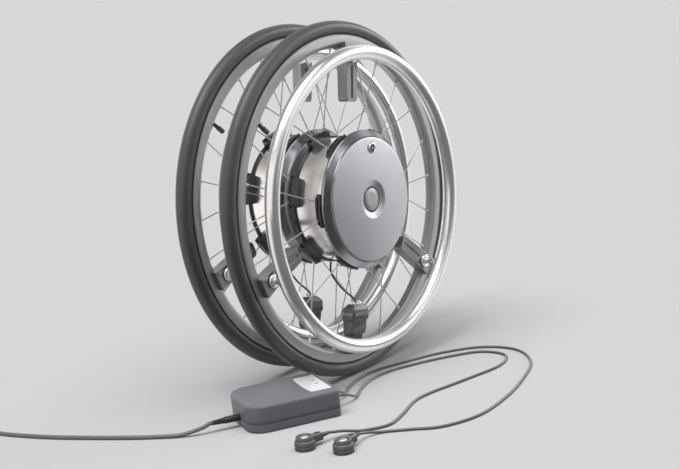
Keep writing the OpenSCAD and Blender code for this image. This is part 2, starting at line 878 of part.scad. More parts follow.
module case_solid(inset, foot, head) {
  hull()
    for (c = corners) translate([c[0] * (charger_l / 2 - c[2]), c[1] * (charger_w / 2 - c[2]), 0]) {
      r = c[2] - inset;
      translate([0, 0, foot]) cylinder(r = r - draft / 2, h = over / 4, $fn = 32);
      for (k = [0 : edge_steps])
        translate([0, 0, head - top_edge + top_edge * sin(k * 90 / edge_steps) - over / 4])
          cylinder(r = r - top_edge / 2 * (1 - cos(k * 90 / edge_steps)), h = over / 4, $fn = 32);
    }
}

module case_shell() {
  difference() {
    case_solid(0, 0, charger_h);
    case_solid(charger_wall, charger_wall, charger_h - charger_wall);
  }
}

module each_boss() {
  for (x = [-1, 1]) for (y = [-1, 1])
    translate([x * (charger_l / 2 - boss_inset), y * (charger_w / 2 - boss_inset), 0]) children();
}

module end_holes() {
  translate([-charger_l, 0, inlet_z]) rotate([0, 90, 0])
    cylinder(d = inlet_d + 2 * fixed_gap, h = charger_l);
  for (y = [lead_a_y, lead_b_y])
    translate([0, y, lead_z]) rotate([0, 90, 0]) cylinder(d = lead_d + 2 * loose, h = charger_l);
}

module charger_top() {
  color("gray") at_charger() difference() {
    union() {
      intersection() {
        case_shell();
        translate([-charger_l, -charger_w, parting_h]) cube([2 * charger_l, 2 * charger_w, charger_h]);
      }
      each_boss() translate([0, 0, parting_h])
        cylinder(d = boss_d, h = charger_h - parting_h - charger_wall + fixed_gap);
    }
    each_boss() translate([0, 0, parting_h - over]) cylinder(d = screw_d + 2 * fixed_gap, h = screw_l);
    end_holes();
  }
}

module charger_base() {
  color("dimgray") at_charger() difference() {
    union() {
      intersection() {
        case_shell();
        translate([-charger_l, -charger_w, 0]) cube([2 * charger_l, 2 * charger_w, parting_h]);
      }
      each_boss() translate([0, 0, charger_wall - fixed_gap])
        cylinder(d = boss_d, h = parting_h - charger_wall + fixed_gap);
      for (x = [-1, 1]) for (y = [-1, 1])
        translate([x * board_l / 3, y * board_w / 3, charger_wall - fixed_gap])
          cylinder(d = post_d, h = board_z - charger_wall + fixed_gap);
    }
    each_boss() {
      translate([0, 0, -over]) cylinder(d = screw_d + 2 * fixed_gap, h = parting_h + 2 * over);
      translate([0, 0, -over]) cylinder(d = screw_head_d + 2 * loose, h = screw_head_h + 2 * over);
    }
    end_holes();
  }
}

module charger_screws() {
  color("silver") at_charger() each_boss() {
    translate([0, 0, over / 2]) cylinder(d = screw_head_d, h = screw_head_h, $fn = 24);
    translate([0, 0, over]) cylinder(d = screw_d, h = screw_l, $fn = 24);
  }
}

module charger_board() {
  color("darkgreen") at_charger() translate([0, 0, board_z]) {
    translate([-board_l / 2, -board_w / 2, 0]) cube([board_l, board_w, board_t]);
    for (y = [-1, 1]) translate([board_l / 3, y * board_w / 4, 0])
      cylinder(d = capacitor_d, h = capacitor_h + board_t);
  }
}

module charger_transformer() {
  color("dimgray") at_charger() translate([core_x, 0, board_z + board_t]) {
    translate([-core_l / 2, -core_w / 2, 0]) cube([core_l, core_w, core_h]);
    translate([-wrap_l / 2, -wrap_w / 2, 0]) cube([wrap_l, wrap_w, wrap_h]);
  }
}

module mains_inlet() {
  wall_x = -charger_l / 2 + charger_wall;
  color("black") at_charger() translate([wall_x, 0, inlet_z]) rotate([0, 90, 0]) difference() {
    union() {
      translate([0, 0, -charger_wall]) cylinder(d = inlet_d, h = inlet_l);
      translate([0, 0, draft / 2 + loose]) cylinder(d = inlet_flange_d, h = inlet_flange_t);
    }
    translate([0, 0, -charger_wall - over])
      cylinder(d = connector_d + 2 * fixed_gap, h = connector_in + over + fixed_gap);
  }
}

module mains_connector() {
  color([0.15, 0.15, 0.16]) at_charger() translate([-charger_l / 2, 0, inlet_z]) rotate([0, -90, 0]) {
    translate([0, 0, -connector_in]) cylinder(d = connector_d, h = connector_in + connector_l);
    translate([0, 0, connector_l])
      cylinder(d1 = relief_d, d2 = mains_d + over / 2, h = relief_l - lead_in);
    for (k = [1, 2])
      translate([0, 0, connector_l + k * relief_l / 4])
        cylinder(d = relief_ring_d - k * over, h = relief_ring_l);
  }
}

// Cords

function spline(p, i, t) =
  let (a = p[max(i - 1, 0)], b = p[i], c = p[i + 1], d = p[min(i + 2, len(p) - 1)])
  (2 * b + (c - a) * t + (2 * a - 5 * b + 4 * c - d) * t * t + (3 * b - a - 3 * c + d) * t * t * t) / 2;

function smooth(p, steps) = concat(
  [for (i = [0 : len(p) - 2]) for (k = [0 : steps - 1]) spline(p, i, k / steps)], [p[len(p) - 1]]);

// A route laid on the floor never sinks below the cord's own radius
function laid(route, r) = [for (p = smooth(route, cord_steps)) [p.x, p.y, max(p.z, r)]];

function heading(p, i) =
  let (d = p[min(i + 1, len(p) - 1)] - p[max(i - 1, 0)]) d / norm(d);

function side_of(d) = let (s = cross(d, [0, 0, 1])) s / norm(s);

module tube(path, r, sides) {
  n = len(path);
  points = [for (i = [0 : n - 1]) let (d = heading(path, i), s = side_of(d), u = cross(s, d))
    for (k = [0 : sides - 1]) path[i] + r * (cos(k * 360 / sides) * s + sin(k * 360 / sides) * u)];
  skin = [for (i = [0 : n - 2]) for (k = [0 : sides - 1])
    let (a = i * sides + k, b = i * sides + (k + 1) % sides)
    each [[a, b, a + sides], [b, b + sides, a + sides]]];
  last = (n - 1) * sides;
  caps = [for (k = [1 : sides - 2]) each [[0, k + 1, k], [last, last + k, last + k + 1]]];
  polyhedron(concat(points, [path[0]]), concat(skin, caps));
}

module mains_cord() {
  color("dimgray") on_floor() tube(laid(mains_route, mains_d / 2), mains_d / 2, cord_sides);
}

module charge_lead_a() {
  color("gray") on_floor() tube(laid(lead_a_route, lead_d / 2), lead_d / 2, cord_sides);
}

module charge_lead_b() {
  color("gray") on_floor() tube(laid(lead_b_route, lead_d / 2), lead_d / 2, cord_sides);
}

// The coil winds in on the floor, climbs in half a turn and winds out again on top
coil_all = 2 * coil_turns + 1 / 2;

function coil_inward(t) = coil_all / 2 - abs(t - coil_all / 2);

function coil_climb(t) = (1 - cos(180 * max(0, min(1, 2 * (t - coil_turns))))) / 2;

function coil_point(t) = concat(
  coil_mid + (coil_r - coil_pitch * coil_inward(t)) * [cos(360 * t), sin(360 * t)],
  [coil_floor + coil_rise * coil_climb(t)]);

coil_end_angle = 360 * coil_all;
coil_way = [-sin(coil_end_angle), cos(coil_end_angle), 0];
coil_count = ceil(coil_all * coil_rings);
coil_path = concat(
  [coil_point(0) - [0, mains_d, 0]],
  [for (k = [0 : coil_count]) coil_point(coil_all * k / coil_count)],
  [for (k = [1, 2]) coil_point(coil_all) + k * coil_tail / 2 * coil_way]);
echo(coil_gap = min([for (i = [0 : len(coil_path) - 1]) for (j = [i + coil_rings / 2 : len(coil_path) - 1])
  norm(coil_path[i] - coil_path[j])]) - mains_d);

module mains_coil() {
  color("dimgray") on_floor() tube(coil_path, mains_d / 2, coil_sides);
}

module mains_plug() {
  start = coil_point(coil_all) + coil_tail * coil_way;
  body = mains_relief_l;
  color([0.15, 0.15, 0.16]) on_floor() translate(start) rotate([0, 0, coil_end_angle + 90]) {
    rotate([0, 90, 0]) cylinder(d1 = mains_d + over / 2, d2 = mains_relief_d, h = mains_relief_l);
    translate([body, 0, -mains_plug_t / 2]) linear_extrude(mains_plug_t) polygon([
      [0, -mains_plug_nose_w / 2], [mains_plug_l, -mains_plug_w / 2],
      [mains_plug_l, mains_plug_w / 2], [0, mains_plug_nose_w / 2]
    ]);
    for (s = [-1, 1]) translate([body + mains_plug_l, s * mains_pin_gap / 2, 0])
      rotate([0, 90, 0]) cylinder(d = mains_pin_d, h = mains_pin_l);
  }
}

module charge_plug(pos, turn) {
  panel_l = plug_neck_l * plug_panel_share;
  panel_w = plug_neck_w * plug_panel_share;
  color("gray") on_floor() translate([pos.x, pos.y, 0]) rotate([0, 0, turn]) {
    rotate_extrude() difference() {
      union() {
        square([plug_d / 2, plug_h - plug_step_h]);
        square([plug_step_d / 2, plug_h]);
      }
      translate([plug_pin_d / 2, plug_h - plug_well_h])
        square([(plug_well_d - plug_pin_d) / 2, plug_well_h + over]);
    }
    difference() {
      translate([plug_d / 2 - 2 * over, -plug_neck_w / 2, plug_lead_z - plug_neck_h / 2])
        cube([plug_neck_l + 2 * over, plug_neck_w, plug_neck_h]);
      translate([(plug_d + plug_neck_l - panel_l) / 2, -panel_w / 2,
        plug_lead_z + plug_neck_h / 2 - plug_panel_depth])
        cube([panel_l, panel_w, plug_panel_depth + over]);
    }
    translate([plug_d / 2 + plug_neck_l, 0, plug_lead_z]) rotate([0, 90, 0])
      cylinder(d1 = plug_relief_d, d2 = lead_d + over / 2, h = plug_relief_l);
  }
}

tyre(0);  // front_tyre
inner_tube(0);  // front_inner_tube
rim(0);  // front_rim
spokes(0);  // front_spokes
nipples(0);  // front_nipples
spoke_flanges(0);  // front_spoke_flanges
drum(0);  // front_drum
back_plate(0);  // front_back_plate
end_shield(0);  // front_end_shield
hub_cover(0);  // front_hub_cover
charge_socket(0);  // front_charge_socket
magnet_ring(0);  // front_magnet_ring
battery_pack(0);  // front_battery_pack
rim_brackets(0);  // front_rim_brackets
sensor_box(0);  // front_sensor_box
sensor_cable(0);  // front_sensor_cable
push_rim(0);  // front_push_rim
push_rim_studs(0);  // front_push_rim_studs
release_button(0);  // front_release_button
lock_ball(0, 1);  // front_lock_ball_a
lock_ball(0, -1);  // front_lock_ball_b
tyre(1);  // rear_tyre
inner_tube(1);  // rear_inner_tube
rim(1);  // rear_rim
spokes(1);  // rear_spokes
nipples(1);  // rear_nipples
spoke_flanges(1);  // rear_spoke_flanges
drum(1);  // rear_drum
back_plate(1);  // rear_back_plate
end_shield(1);  // rear_end_shield
hub_cover(1);  // rear_hub_cover
charge_socket(1);  // rear_charge_socket
magnet_ring(1);  // rear_magnet_ring
battery_pack(1);  // rear_battery_pack
rim_brackets(1);  // rear_rim_brackets
sensor_box(1);  // rear_sensor_box
sensor_cable(1);  // rear_sensor_cable
push_rim(1);  // rear_push_rim
push_rim_studs(1);  // rear_push_rim_studs
release_button(1);  // rear_release_button
lock_ball(1, 1);  // rear_lock_ball_a
lock_ball(1, -1);  // rear_lock_ball_b
axles();
spindles();
stators();
bearings();
charger_top();
charger_base();
charger_screws();
charger_board();
charger_transformer();
mains_inlet();
mains_connector();
mains_cord();
mains_coil();
mains_plug();
charge_lead_a();
charge_lead_b();
charge_plug(plug_a_pos, plug_a_turn);  // charge_plug_a
charge_plug(plug_b_pos, plug_b_turn);  // charge_plug_b
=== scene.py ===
"""Looks of a wheelchair power assist: two hub motor drive wheels with push rims, and their charger."""

import json
import math

import bmesh
import bpy
from mathutils import Matrix, Vector


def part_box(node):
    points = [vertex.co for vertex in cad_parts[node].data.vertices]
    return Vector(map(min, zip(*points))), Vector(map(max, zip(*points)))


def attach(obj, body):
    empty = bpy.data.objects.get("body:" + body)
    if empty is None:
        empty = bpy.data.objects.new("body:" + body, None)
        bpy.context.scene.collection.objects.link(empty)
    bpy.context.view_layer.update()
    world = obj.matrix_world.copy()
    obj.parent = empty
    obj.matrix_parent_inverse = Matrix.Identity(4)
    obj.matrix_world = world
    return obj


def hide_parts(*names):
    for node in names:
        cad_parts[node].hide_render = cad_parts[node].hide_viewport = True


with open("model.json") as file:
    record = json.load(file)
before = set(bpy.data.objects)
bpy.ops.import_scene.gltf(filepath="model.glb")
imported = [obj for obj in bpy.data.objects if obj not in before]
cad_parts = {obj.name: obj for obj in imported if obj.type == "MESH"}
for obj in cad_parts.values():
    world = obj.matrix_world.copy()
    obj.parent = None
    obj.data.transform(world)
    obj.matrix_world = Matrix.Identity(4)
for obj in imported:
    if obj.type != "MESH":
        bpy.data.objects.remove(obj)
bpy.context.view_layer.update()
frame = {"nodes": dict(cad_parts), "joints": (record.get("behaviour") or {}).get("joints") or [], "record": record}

# Frame facts: where the wheels stand and how far they have rolled, and the floor point under the front wheel
MM = 0.001
QUARTER = math.pi / 2
WHEELS = ("front", "rear")
WHEEL_TURN = math.radians(8.5)
joint_pos = {j["name"]: Vector(j["pos_m"]) for j in frame["joints"] if "pos_m" in j}
centre = {w: joint_pos[f"{w}_wheel_spin"] for w in WHEELS}
foot = Vector((centre["front"].x, centre["front"].y, 0.0))

# Camera, set from the photograph: a long lens to the left of the covers, rolled a little
IMAGE_W, IMAGE_H = 680, 469
FILM_W = 36.0
CAMERA_AZIMUTH = math.radians(-51.485)
CAMERA_ELEVATION = math.radians(9.0)
CAMERA_ROLL = math.radians(-6.0)
CAMERA_DISTANCE = 2.2
CAMERA_REACH = 50.0
FOCAL_PIXELS = 1320.725
AIM_PIXEL = (344.014, 198.701)


def add_object(name, data):
    obj = bpy.data.objects.new(name, data)
    bpy.context.scene.collection.objects.link(obj)
    return obj


def make_camera():
    a, e = CAMERA_AZIMUTH, CAMERA_ELEVATION
    back = Vector((math.sin(a) * math.cos(e), -math.cos(a) * math.cos(e), math.sin(e)))
    level = (-back).cross(Vector((0, 0, 1))).normalized()
    upright = level.cross(-back)
    c, s = math.cos(CAMERA_ROLL), math.sin(CAMERA_ROLL)
    right = level * c + upright * s
    up = upright * c - level * s
    data = bpy.data.cameras.new("camera")
    data.sensor_width = FILM_W
    data.sensor_fit = "HORIZONTAL"
    data.lens = FOCAL_PIXELS * FILM_W / IMAGE_W
    data.shift_x = (IMAGE_W / 2 - AIM_PIXEL[0]) / IMAGE_W
    data.shift_y = (AIM_PIXEL[1] - IMAGE_H / 2) / IMAGE_W
    data.clip_end = CAMERA_REACH
    camera = add_object("camera", data)
    turn = Matrix((right, up, back)).transposed().to_4x4()
    camera.matrix_world = Matrix.Translation(centre["front"] + back * CAMERA_DISTANCE) @ turn
    bpy.context.scene.camera = camera


make_camera()


# Materials

MOTTLE_SCALE = 40.0
NOISE_DETAIL = 3.0
NOISE_RANGE = (0.3, 0.7)
LEAST_ROUGH = 0.02
GRAIN_DEPTH = 0.0002
COAT_ROUGH = 0.15
SHEEN_ROUGH = 0.35


def nodes_of(name):
    material = bpy.data.materials.new(name)
    material.use_nodes = True
    tree = material.node_tree
    return material, tree.nodes, tree.links, tree.nodes["Principled BSDF"]


def vector_math(nodes, links, operation, vector):
    node = nodes.new("ShaderNodeVectorMath")
    node.operation = operation
    links.new(vector, node.inputs[0])
    return node


def turned_coordinates(nodes, links):
    """Radius and height about the piece's own axis, so that a texture runs round it in rings."""
    split = nodes.new("ShaderNodeSeparateXYZ")
    flat = nodes.new("ShaderNodeCombineXYZ")
    join = nodes.new("ShaderNodeCombineXYZ")
    links.new(nodes.new("ShaderNodeTexCoord").outputs["Object"], split.inputs[0])
    for axis in "XY":
        links.new(split.outputs[axis], flat.inputs[axis])
    radius = vector_math(nodes, links, "LENGTH", flat.outputs[0])
    links.new(radius.outputs["Value"], join.inputs["X"])
    links.new(split.outputs["Z"], join.inputs["Y"])
    return join.outputs[0]


def noise(nodes, links, where, scale):
    texture = nodes.new("ShaderNodeTexNoise")
    texture.inputs["Scale"].default_value = scale
    texture.inputs["Detail"].default_value = NOISE_DETAIL
    links.new(where, texture.inputs["Vector"])
    return texture.outputs["Fac"]


def finish(name, colour, rough, metallic=0.0, mottle=0.08, rough_swing=0.06, grain=0.0, grain_scale=1500.0,
           turned=False, coat=0.0, specular=0.5, sheen=0.0):
    """A finish with a mottled colour, a roughness that wanders and, where given, a fine grain."""
    material, nodes, links, shader = nodes_of(name)
    plain = nodes.new("ShaderNodeTexCoord").outputs["Object"]
    fine = turned_coordinates(nodes, links) if turned else plain
    blotch = noise(nodes, links, plain, MOTTLE_SCALE)
    tint = nodes.new("ShaderNodeMix")
    tint.data_type = "RGBA"
    tint.inputs["A"].default_value = (*[c * (1 - mottle) for c in colour], 1)
    tint.inputs["B"].default_value = (*[min(1, c * (1 + mottle)) for c in colour], 1)
    links.new(blotch, tint.inputs["Factor"])
    links.new(tint.outputs["Result"], shader.inputs["Base Color"])
    streak = noise(nodes, links, fine, grain_scale)
    spread = nodes.new("ShaderNodeMapRange")
    spread.inputs["From Min"].default_value, spread.inputs["From Max"].default_value = NOISE_RANGE
    spread.inputs["To Min"].default_value = max(LEAST_ROUGH, rough - rough_swing)
    spread.inputs["To Max"].default_value = min(1.0, rough + rough_swing)
    links.new(streak, spread.inputs["Value"])
    links.new(spread.outputs["Result"], shader.inputs["Roughness"])
    if grain:
        bump = nodes.new("ShaderNodeBump")
        bump.inputs["Strength"].default_value = grain
        bump.inputs["Distance"].default_value = GRAIN_DEPTH
        links.new(streak, bump.inputs["Height"])
        links.new(bump.outputs["Normal"], shader.inputs["Normal"])
    values = {"Metallic": metallic, "Coat Weight": coat, "Coat Roughness": COAT_ROUGH,
              "Specular IOR Level": specular, "Sheen Weight": sheen, "Sheen Roughness": SHEEN_ROUGH}
    for socket, value in values.items():
        shader.inputs[socket].default_value = value
    return material


FINISHES = {
    "tyre": finish("tyre_rubber", (0.062, 0.061, 0.066), 0.42, grain=0.3, grain_scale=900, mottle=0.15,
                   rough_swing=0.08, specular=1.0, sheen=0.3),
    "tube": finish("tube_rubber", (0.035, 0.035, 0.037), 0.5, grain=0.2),
    "valve": finish("valve_cap_plastic", (0.11, 0.11, 0.114), 0.3, grain=0.15, coat=0.4),
    "rim": finish("rim_anodised", (0.43, 0.42, 0.425), 0.36, metallic=0.8, turned=True, grain=0.05),
    "spoke": finish("spoke_steel", (0.50, 0.49, 0.48), 0.25, metallic=1.0),
    "nipple": finish("nipple_plated", (0.92, 0.91, 0.89), 0.3, metallic=0.4),
    "flange": finish("flange_black", (0.024, 0.024, 0.026), 0.22, grain=0.1, coat=0.5),
    "drum": finish("drum_polished", (0.95, 0.915, 0.90), 0.22, metallic=1.0, turned=True, rough_swing=0.03,
                   grain_scale=700, mottle=0.02),
    "hub_casting": finish("hub_casting", (0.36, 0.365, 0.375), 0.48, metallic=0.9, grain=0.3,
                          grain_scale=700),
    "shield": finish("shield_satin", (0.36, 0.36, 0.38), 0.2, metallic=1.0, grain=0.04, turned=True),
    "cover": finish("cover_paint", (0.60, 0.60, 0.64), 0.36, metallic=0.68, grain=0.05, mottle=0.02,
                    coat=0.1),
    "contact": finish("contact_plated", (0.80, 0.79, 0.77), 0.24, metallic=1.0),
    "magnet": finish("magnet_plated", (0.3, 0.3, 0.32), 0.4, metallic=0.9),
    "battery": finish("battery_sleeve", (0.05, 0.2, 0.11), 0.45),
    "bracket": finish("bracket_dark", (0.33, 0.32, 0.325), 0.3, metallic=0.9, grain=0.06, mottle=0.05),
    "sensor": finish("sensor_plastic", (0.12, 0.118, 0.121), 0.26, grain=0.06, coat=0.4),
    "sensor_rib": finish("sensor_rib_plastic", (0.46, 0.455, 0.46), 0.35, grain=0.1),
    "cable": finish("cable_sheath", (0.075, 0.074, 0.077), 0.45, grain=0.2),
    "push_rim": finish("push_rim_steel", (0.93, 0.91, 0.89), 0.23, metallic=0.8, turned=True, grain=0.03,
                       rough_swing=0.04, mottle=0.03),
    "button": finish("button_satin", (0.50, 0.50, 0.52), 0.42, metallic=0.6, turned=True, grain=0.08),
    "steel": finish("ground_steel", (0.55, 0.55, 0.55), 0.28, metallic=1.0),
    "stator": finish("stator_copper", (0.42, 0.2, 0.1), 0.35, metallic=0.9),
    "case": finish("case_plastic", (0.21, 0.206, 0.237), 0.5, grain=0.35, grain_scale=2600, mottle=0.04),
    "case_base": finish("case_base_plastic", (0.075, 0.074, 0.083), 0.56, grain=0.35, grain_scale=2600),
    "plate": finish("plate_film", (0.88, 0.88, 0.89), 0.4, grain=0.03, mottle=0.02),
    "lens": finish("lens_grey", (0.2, 0.2, 0.22), 0.15, coat=0.5),
    "transformer": finish("transformer_core", (0.22, 0.22, 0.23), 0.5, metallic=0.7, grain=0.3),
    "board": finish("board_lacquer", (0.03, 0.14, 0.06), 0.4),
    "black_plastic": finish("black_plastic", (0.028, 0.028, 0.03), 0.42, grain=0.2, grain_scale=2200),
    "cord": finish("cord_sheath", (0.17, 0.168, 0.175), 0.36, grain=0.15, grain_scale=2600, coat=0.2),
    "plug": finish("plug_plastic", (0.155, 0.154, 0.16), 0.32, grain=0.2, grain_scale=2200, coat=0.3),
    "plug_light": finish("plug_border", (0.42, 0.42, 0.43), 0.4, grain=0.1),
}


# Cords: routes from the floor point under the front wheel, in metres

MAINS_D = 0.0065
LEAD_D = 0.0044
MAINS_ROUTE = [
    (-.34346, .025, .015), (-.3482, .02775, .0146), (-.360, .036, .010), (-.383, .064, .0033),
    (-.412, .120, .0033), (-.440, .190, .0033), (-.464, .260, .0033), (-.480, .330, .0033),
    (-.484, .370, .0033), (-.484, .4034, .0033),
]
LEAD_ROUTES = {
    "a": [
        (-.188, -.0809, .020), (-.165, -.093, .017), (-.134, -.089, .005), (-.098, -.071, .0022),
        (-.050, -.056, .0022), (0, -.058, .0022), (.050, -.078, .0022), (.100, -.106, .0022),
        (.146, -.146, .0022), (.142, -.198, .0022), (.086, -.220, .0022), (0, -.206, .0022),
        (-.100, -.188, .0022), (-.176, -.208, .0022), (-.222, -.216, .0022), (-.256, -.194, .0022),
        (-.280, -.177, .0075), (-.3036, -.16857, .012),
    ],
    "b": [
        (-.176, -.0601, .020), (-.153, -.071, .016), (-.128, -.063, .005), (-.095, -.045, .0022),
        (-.050, -.032, .0022), (0, -.033, .0022), (.060, -.056, .0022), (.120, -.084, .0022),
        (.172, -.134, .0022), (.176, -.200, .0022), (.124, -.258, .0022), (.040, -.292, .0022),
        (-.050, -.314, .0022), (-.136, -.320, .0022), (-.198, -.296, .0022), (-.226, -.258, .0022),
        (-.250, -.226, .0022), (-.271, -.215, .007), (-.2915, -.21443, .012),
    ],
}
ROUTE_STEPS = 8
CORD_ROUNDING = 4
COIL_MIDDLE = Vector((-.530, .410, .0033))
COIL_R = 0.046
COIL_TURNS = 5.375
COIL_SIDE_GAP, COIL_LAYER_GAP = 0.0008, 0.0006
COIL_STEPS = 40
COIL_TAIL = 0.032


def smooth_route(route, low):
    """The route as one smooth curve that never sinks below the cord's own radius."""
    points = [Vector(p) for p in route]
    path = []
    for i in range(len(points) - 1):
        a, b = points[max(i - 1, 0)], points[i]
        c, d = points[i + 1], points[min(i + 2, len(points) - 1)]
        for k in range(ROUTE_STEPS):
            t = k / ROUTE_STEPS
            path.append((2 * b + (c - a) * t + (2 * a - 5 * b + 4 * c - d) * t * t
                         + (3 * b - a - 3 * c + d) * t ** 3) / 2)
    path.append(points[-1])
    return [Vector((p.x, p.y, max(p.z, low))) for p in path]


def coil_point(turn):
    """The coil winds in on the floor, climbs in the half turn where it reverses, and winds out."""
    inward = COIL_TURNS / 2 - abs(turn - COIL_TURNS / 2)
    climb = min(1.0, max(0.0, 2 * (turn - COIL_TURNS / 2) + 0.5))
    r = COIL_R - (MAINS_D + COIL_SIDE_GAP) * inward
    a = 2 * math.pi * turn
    lift = (MAINS_D + COIL_LAYER_GAP) * (1 - math.cos(math.pi * climb)) / 2
    return COIL_MIDDLE + Vector((r * math.cos(a), r * math.sin(a), lift))


def coil_path():
    """The coil's turns, and a straight tail that leads to the plug."""
    count = round(COIL_TURNS * COIL_STEPS)
    path = [coil_point(COIL_TURNS * k / count) for k in range(count + 1)]
    a = 2 * math.pi * COIL_TURNS
    return path + [path[-1] + COIL_TAIL * Vector((-math.sin(a), math.cos(a), 0))]


def lay_cord(name, path, diameter, replaced):
    curve = bpy.data.curves.new(name, "CURVE")
    curve.dimensions = "3D"
    curve.bevel_depth = diameter / 2
    curve.bevel_resolution = CORD_ROUNDING
    curve.use_fill_caps = True
    spline = curve.splines.new("POLY")
    spline.points.add(len(path) - 1)
    for point, p in zip(spline.points, path):
        point.co = (*(foot + p), 1)
    spline.use_smooth = True
    curve.materials.append(FINISHES["cord"])
    obj = add_object(name, curve)
    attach(obj, "stand")
    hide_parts(*replaced)


# Mesh tools. Outlines are in millimetres, and angles that make an edge sharp are in degrees

WELD = 1e-7
SHARP = 40.0
BEVEL_FROM, BEVEL_SHARP, BEVEL_SEGMENTS = 40.0, 50.0, 3
CORNER_SHARE = 0.45
STEPS_WHEEL, STEPS_HUB, STEPS_KNOB, STEPS_SMALL, STEPS_PIN, STEPS_TINY = 288, 192, 96, 64, 48, 32


def tidy_mesh(mesh, sharp):
    work = bmesh.new()
    work.from_mesh(mesh)
    bmesh.ops.remove_doubles(work, verts=work.verts, dist=WELD)
    bmesh.ops.recalc_face_normals(work, faces=work.faces)
    work.to_mesh(mesh)
    work.free()
    mesh.shade_smooth()
    mesh.set_sharp_from_angle(angle=math.radians(sharp))


def mesh_object(name, verts, faces, sharp):
    mesh = bpy.data.meshes.new(name)
    mesh.from_pydata([tuple(c * MM for c in v) for v in verts], [], faces)
    tidy_mesh(mesh, sharp)
    return mesh


def rounded(outline, radius, steps=4):
    """The closed outline with each corner turned into an arc."""
    result = []
    count = len(outline)
    for i, corner in enumerate(outline):
        here = Vector(corner)
        before = Vector(outline[i - 1]) - here
        after = Vector(outline[(i + 1) % count]) - here
        bend = before.angle(after)
        cut = min(radius / math.tan(bend / 2), before.length * CORNER_SHARE, after.length * CORNER_SHARE)
        start = here + before.normalized() * cut
        end = here + after.normalized() * cut
        for k in range(steps + 1):
            t = k / steps
            result.append(tuple((1 - t) ** 2 * start + 2 * t * (1 - t) * here + t * t * end))
    return result


def lathe(name, outline, steps=STEPS_HUB, sharp=SHARP):
    """A closed outline of (radius, height) turned round the axis."""
    count = len(outline)
    verts = []
    faces = []
    for k in range(steps):
        a = 2 * math.pi * k / steps
        verts += [(r * math.cos(a), r * math.sin(a), z) for r, z in outline]
    for k in range(steps):
        this, that = k * count, (k + 1) % steps * count
        for i in range(count):
            j = (i + 1) % count
            faces.append((this + i, that + i, that + j, this + j))
    return mesh_object(name, verts, faces, sharp)


def stack(name, rings, sharp=SHARP):
    """Rings of equal count joined into a closed skin, with flat ends."""
    count = len(rings[0])
    verts = [v for ring in rings for v in ring]
    faces = []
    for level in range(len(rings) - 1):
        low, high = level * count, (level + 1) * count
        for i in range(count):
            j = (i + 1) % count
            faces.append((low + i, low + j, high + j, high + i))
    faces.append(tuple(reversed(range(count))))
    faces.append(tuple(range((len(rings) - 1) * count, len(rings) * count)))
    return mesh_object(name, verts, faces, sharp)


def bevelled(name, outline, low, high, bevel):
    """A flat outline raised to a thickness, with its edges softened."""
    work = bmesh.new()
    ring = [work.verts.new((x * MM, y * MM, low * MM)) for x, y in outline]
    face = work.faces.new(ring)
    raised = bmesh.ops.extrude_face_region(work, geom=[face])
    moved = [v for v in raised["geom"] if isinstance(v, bmesh.types.BMVert)]
    bmesh.ops.translate(work, verts=moved, vec=(0, 0, (high - low) * MM))
    bmesh.ops.recalc_face_normals(work, faces=work.faces)
    edges = [e for e in work.edges if e.calc_face_angle(0) > math.radians(BEVEL_FROM)]
    bmesh.ops.bevel(work, geom=edges, offset=bevel * MM, segments=BEVEL_SEGMENTS, profile=0.5,
                    affect="EDGES")
    mesh = bpy.data.meshes.new(name)
    work.to_mesh(mesh)
    work.free()
    tidy_mesh(mesh, BEVEL_SHARP)
    return mesh


def with_hole(mesh, radius, x, y, low, high):
    """The mesh with a round hole through it."""
    cutter = lathe("cutter", [(0.0, low), (radius, low), (radius, high), (0.0, high)], STEPS_SMALL)
    solid = add_object("solid", mesh)
    tool = add_object("tool", cutter)
    tool.location = (x * MM, y * MM, 0)
    cut = solid.modifiers.new("cut", "BOOLEAN")
    cut.object = tool
    cut.solver = "EXACT"
    evaluated = solid.evaluated_get(bpy.context.evaluated_depsgraph_get())
    result = bpy.data.meshes.new_from_object(evaluated)
    result.name = mesh.name + "_holed"
    for obj in (solid, tool):
        bpy.data.objects.remove(obj)
    for used in (mesh, cutter):
        bpy.data.meshes.remove(used)
    return result


def shifted(x, y, z):
    """A move, in millimetres."""
    return Matrix.Translation((x * MM, y * MM, z * MM))


def spun(angle, axis):
    return Matrix.Rotation(angle, 4, axis)


def standing(w):
    """A wheel's own place, with its axis along z and its cover up."""
    return Matrix.Translation(centre[w]) @ spun(QUARTER, "X")


def rolled(w):
    return standing(w) @ spun(-WHEEL_TURN, "Z")


def place(name, mesh, matrix, body, slot, finish_name=None, replaced=()):
    """A piece on a body, with its slot's finish or another, in place of CAD nodes where it has any."""
    obj = add_object(name, mesh)
    if not mesh.materials:
        mesh.materials.append(FINISHES[finish_name or slot])
    obj.matrix_world = matrix
    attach(obj, body)
    if replaced:
        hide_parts(*replaced)
    return obj


def on_wheels(name, mesh, slot, node=None, body="wheel", at=standing):
    """The same piece on both wheels."""
    for w in WHEELS:
        replaced = [f"{w}_{node}"] if node else ()
        place(f"{w}_{name}_look", mesh, at(w), f"{w}_{body}", slot, replaced=replaced)


# Tyre, rim and push rim, in millimetres about the wheel's axis

